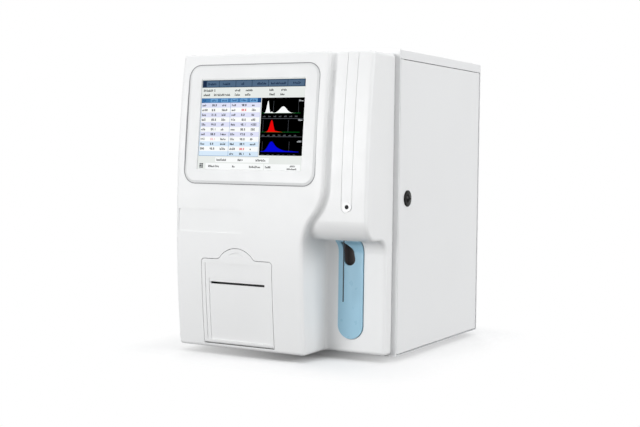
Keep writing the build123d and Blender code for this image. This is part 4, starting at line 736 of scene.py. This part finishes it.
def bezel_gap_shadow_strip():
    """Painted shade: a soft grey strip in the gap round the bezel, a dark sheet that darkens the gap as its
    shadow would.

    A rounded rectangle of 213 by 168.5 mm with 18 mm corners, grown by o, carries a closed section whose
    outer face is h = -1.75 + 0.25 (1 - (2 (o - 0.65) / 1.2)^2) mm from the front of the housing, for o
    from 0.05 to 1.25.
    """
    front_lift = 4.2  # mm from the middle of the glass to the front of the housing
    corner, inner, outer = 18.0, 0.05, 1.25
    corner_x, corner_y = 88.5, 66.25
    face, crown, root = -1.75, 0.25, -2.9
    middle, across, upward, outward = screen_place(front_lift)
    grow = np.linspace(outer, inner, 7)
    level = face + crown * (1 - ((2 * grow - inner - outer) / (outer - inner)) ** 2)
    grow = np.concatenate(([outer], grow, [inner, outer]))[:, None]
    level = np.concatenate(([root], level, [root, root]))[:, None]
    steps = 13
    turn = ((np.arange(4)[:, None] + np.linspace(0, 1, steps)) * np.pi / 2).ravel()
    u = np.repeat((corner_x, -corner_x, -corner_x, corner_x), steps) + (corner + grow) * np.cos(turn)
    v = np.repeat((corner_y, corner_y, -corner_y, -corner_y), steps) + (corner + grow) * np.sin(turn)
    points = middle + MM * (u[..., None] * across + v[..., None] * upward + level[..., None] * outward)
    # Painted shade: the strip's grey stands in for the shadow in the gap round the bezel
    gap_shadow_grey = moulded("gap_shadow_grey", (0.3, 0.3, 0.31), 0.6)
    dressed("bezel_gap_shadow_strip", grid(points), "housing", "bezel_plastic", gap_shadow_grey)


def pan_head(place, outward):
    """Cross-recessed pan head and its thread.

    The crown is h = 1.0 + 0.8 sqrt(1 - (r / R)^2) mm with R = 3.2, less a cross 1.1 mm deep whose arms
    are 1.0 wide and 3.5 long with sloped walls. The thread is r = 1.35 + 0.15 cos(2 pi h / 0.5).
    """
    head, rim, foot = 3.2, 1.0, 3.05
    length, pitch = 6.0, 0.5
    arm_side, arm_end = (0.56, 0.12), (1.8, 0.3)

    def crown(radius, u, v):
        one_arm = slope_off(u, *arm_side) * slope_off(v, *arm_end)
        other_arm = slope_off(v, *arm_side) * slope_off(u, *arm_end)
        return rim + 0.8 * np.sqrt(1 - (radius / head) ** 2) - 1.1 * np.maximum(one_arm, other_arm)

    height = np.arange(-length, 0.01, pitch / 4)
    thread = zip(height, 1.35 + 0.15 * np.cos(2 * np.pi * height / pitch))
    return joined([
        disc(place, outward, head, 17, 48, crown),
        turned([(0.0, 0.0), (0.0, foot), (0.75, head), (rim, head)], place, outward, 48),
        turned([(-length, 0.0), *thread, (0.0, 0.0)], place, outward, 16),
    ])


def screws():
    """Panel screws of the housing: six on the left and six at the back."""
    left_face, left_rows, left_heights = -0.159, (-0.08315, 0.04085, 0.16485), (0.018, 0.414)
    back_face, back_rows, back_heights = 0.19485, (-0.12, 0.0, 0.12), (0.018, 0.428)
    places = [((left_face, y, z), (-1, 0, 0)) for y in left_rows for z in left_heights]
    places += [((x, back_face, z), (0, 1, 0)) for x in back_rows for z in back_heights]
    shape = joined([pan_head(place, outward) for place, outward in places])
    dressed("panel_screws", shape, "housing", "plated_screw", replaced="pan_screws")


def screw_thread():
    """Lead screw of the probe: r = 2.8 + 0.2 cos(t - 2 pi h / 2) mm, a single thread of 2 mm pitch."""
    foot, top, step = 180.3, 399.71, 0.33
    mean, tooth, pitch, count = 2.8, 0.2, 2.0, 20
    journal = 2.0
    low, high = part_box("lead_screw")
    base = np.array(((low.x + high.x) / 2, (low.y + high.y) / 2, 0.0))
    one, two, axis = axes_about((0, 0, 1))
    angle = np.linspace(0, 2 * np.pi, count, endpoint=False)[None, :]
    rise = np.arange(foot, top, step)[:, None]
    radius = mean + tooth * np.cos(angle - 2 * np.pi * rise / pitch)
    ring = np.cos(angle)[..., None] * one + np.sin(angle)[..., None] * two
    points = base + MM * (radius[..., None] * ring + rise[..., None] * axis)
    ends = base + MM * rise[[0, -1]] * axis
    caps = np.repeat(ends[:, None], count, axis=1)
    thread = grid(np.concatenate((caps[:1], points, caps[1:])))
    bottom, head = low.z / MM, high.z / MM
    core = turned([(bottom, 0.0), (bottom, journal), (head, journal), (head, 0.0)], base, axis, 24)
    dressed("screw_thread", joined([thread, core]), "probe_screw", "steel", replaced="lead_screw")


def lock_faces():
    """Domed faces of the lock, over the flat ones of its head and plug.

    Head: h = 1.3 + 0.9 (1 - s^2.5) mm, where s runs from 0 at r = 7.2 to 1 at r = 11.6.
    Plug: h = 2.22 + 2.4 (1 - (r / 6.95)^2) mm, less a key slot 1.5 wide, 7 long and 1.6 deep.
    """
    centre, outward = (0.159, -0.08365, 0.2278), (1, 0, 0)
    plug, bore, rim, seat, face = 6.95, 7.1, 11.62, 0.2, 2.22
    share = np.linspace(1.0, 0.0, 14)
    dome = zip(1.3 + 0.9 * (1 - share**2.5), 7.2 + 4.4 * share)
    head = turned([(seat, bore), (seat, rim), *dome, (1.6, bore), (seat, bore)], centre, outward, 64)

    def plug_face(radius, u, v):
        key_slot = slope_off(v, 0.8, 0.1) * slope_off(u, 3.6, 0.2)
        return face + 2.4 * (1 - (radius / plug) ** 2) - 1.6 * key_slot

    plug_shape = joined([
        disc(centre, outward, plug, 25, 64, plug_face),
        turned([(2.0, 0.0), (2.0, plug), (face, plug)], centre, outward, 64),
    ])
    dressed("lock_head_face", head, "service_door", "lock_black")
    dressed("lock_plug_face", plug_shape, "door_latch", "lock_black")


def port_details():
    """Insides of the three data ports: a block with pins, a tongue with strips, and a comb of wires."""
    row, serial_x, square_x, network_x = 308.0, 72.0, 20.0, 45.0
    socket_floor, pin_foot = 184.3, 188.0
    tongue, wires = (184.6, 193.0), (187.0, 194.0)
    blocks = [
        cuboid(span_of(serial_x, 13.8), (socket_floor, pin_foot), span_of(row, 4.2), 1.5),
        cuboid(span_of(square_x, 3.0), tongue, span_of(row, 1.6)),
        cuboid(span_of(network_x, 5.3), (socket_floor, wires[0]), span_of(row, 5.8)),
    ]
    pin = [(0.0, 0.0), (0.0, 0.5), (6.2, 0.5), (6.6, 0.35), (6.8, 0.0)]
    pin_pitch, wire_pitch = 2.75, 1.1
    contacts = []
    for count, lift in ((5, 1.5), (4, -1.5)):
        for x in serial_x + pin_pitch * (np.arange(count) - (count - 1) / 2):
            contacts.append(turned(pin, (x * MM, pin_foot * MM, (row + lift) * MM), (0, 1, 0), 12))
    for x in network_x + wire_pitch * (np.arange(8) - 3.5):
        contacts.append(cuboid(span_of(x, 0.25), wires, (row + 4.2, row + 4.6), 0.05))
    for x in span_of(square_x, 1.2):
        for z in span_of(row, 1.7):
            contacts.append(cuboid(span_of(x, 0.6), (tongue[0], 192.4), span_of(z, 0.1), 0.03))
    dressed("port_blocks", joined(blocks), "housing", "black_plastic")
    dressed("port_contacts", joined(contacts), "housing", "brass")


def rocker_marks():
    """Bar and ring for on and off, printed on the two faces of the power rocker."""
    tilt, crest = math.radians(10.0), 1.5
    across = np.array((1.0, 0.0, 0.0))
    outward = np.array((0.0, math.cos(tilt), -math.sin(tilt)))
    upward = np.array((0.0, math.sin(tilt), math.cos(tilt)))
    pivot = np.array((-78.0, 193.85, 44.0))

    def on_face(u, v):
        """Points of the faces, u across and v up from the crest: h = crest + |v| tan(tilt) + 0.03 mm."""
        height = crest + np.abs(v) * math.tan(tilt) + 0.03
        return MM * (pivot + np.outer(u, across) + np.outer(height, outward) + np.outer(v, upward))

    half, start, stop = 0.45, -3.0, -6.2
    bar = on_face(np.array((-half, half, half, -half)), np.array((start, start, stop, stop)))
    ring_middle, ring_radii = 4.6, (1.25, 1.95)
    angle = np.linspace(0, 2 * np.pi, 28, endpoint=False)
    ring = np.array([on_face(r * np.cos(angle), ring_middle + r * np.sin(angle)) for r in ring_radii])
    shape = joined([(bar, [(0, 1, 2, 3)]), grid(ring)])
    mark_print = moulded("mark_print", (0.8, 0.8, 0.78), 0.5, depth=0.000005)
    dressed("rocker_marks", shape, "power_key", "black_plastic", mark_print)


for make in (screen_picture, bezel_gap_shadow_strip, screws, screw_thread, lock_faces, port_details, rocker_marks):
    make()
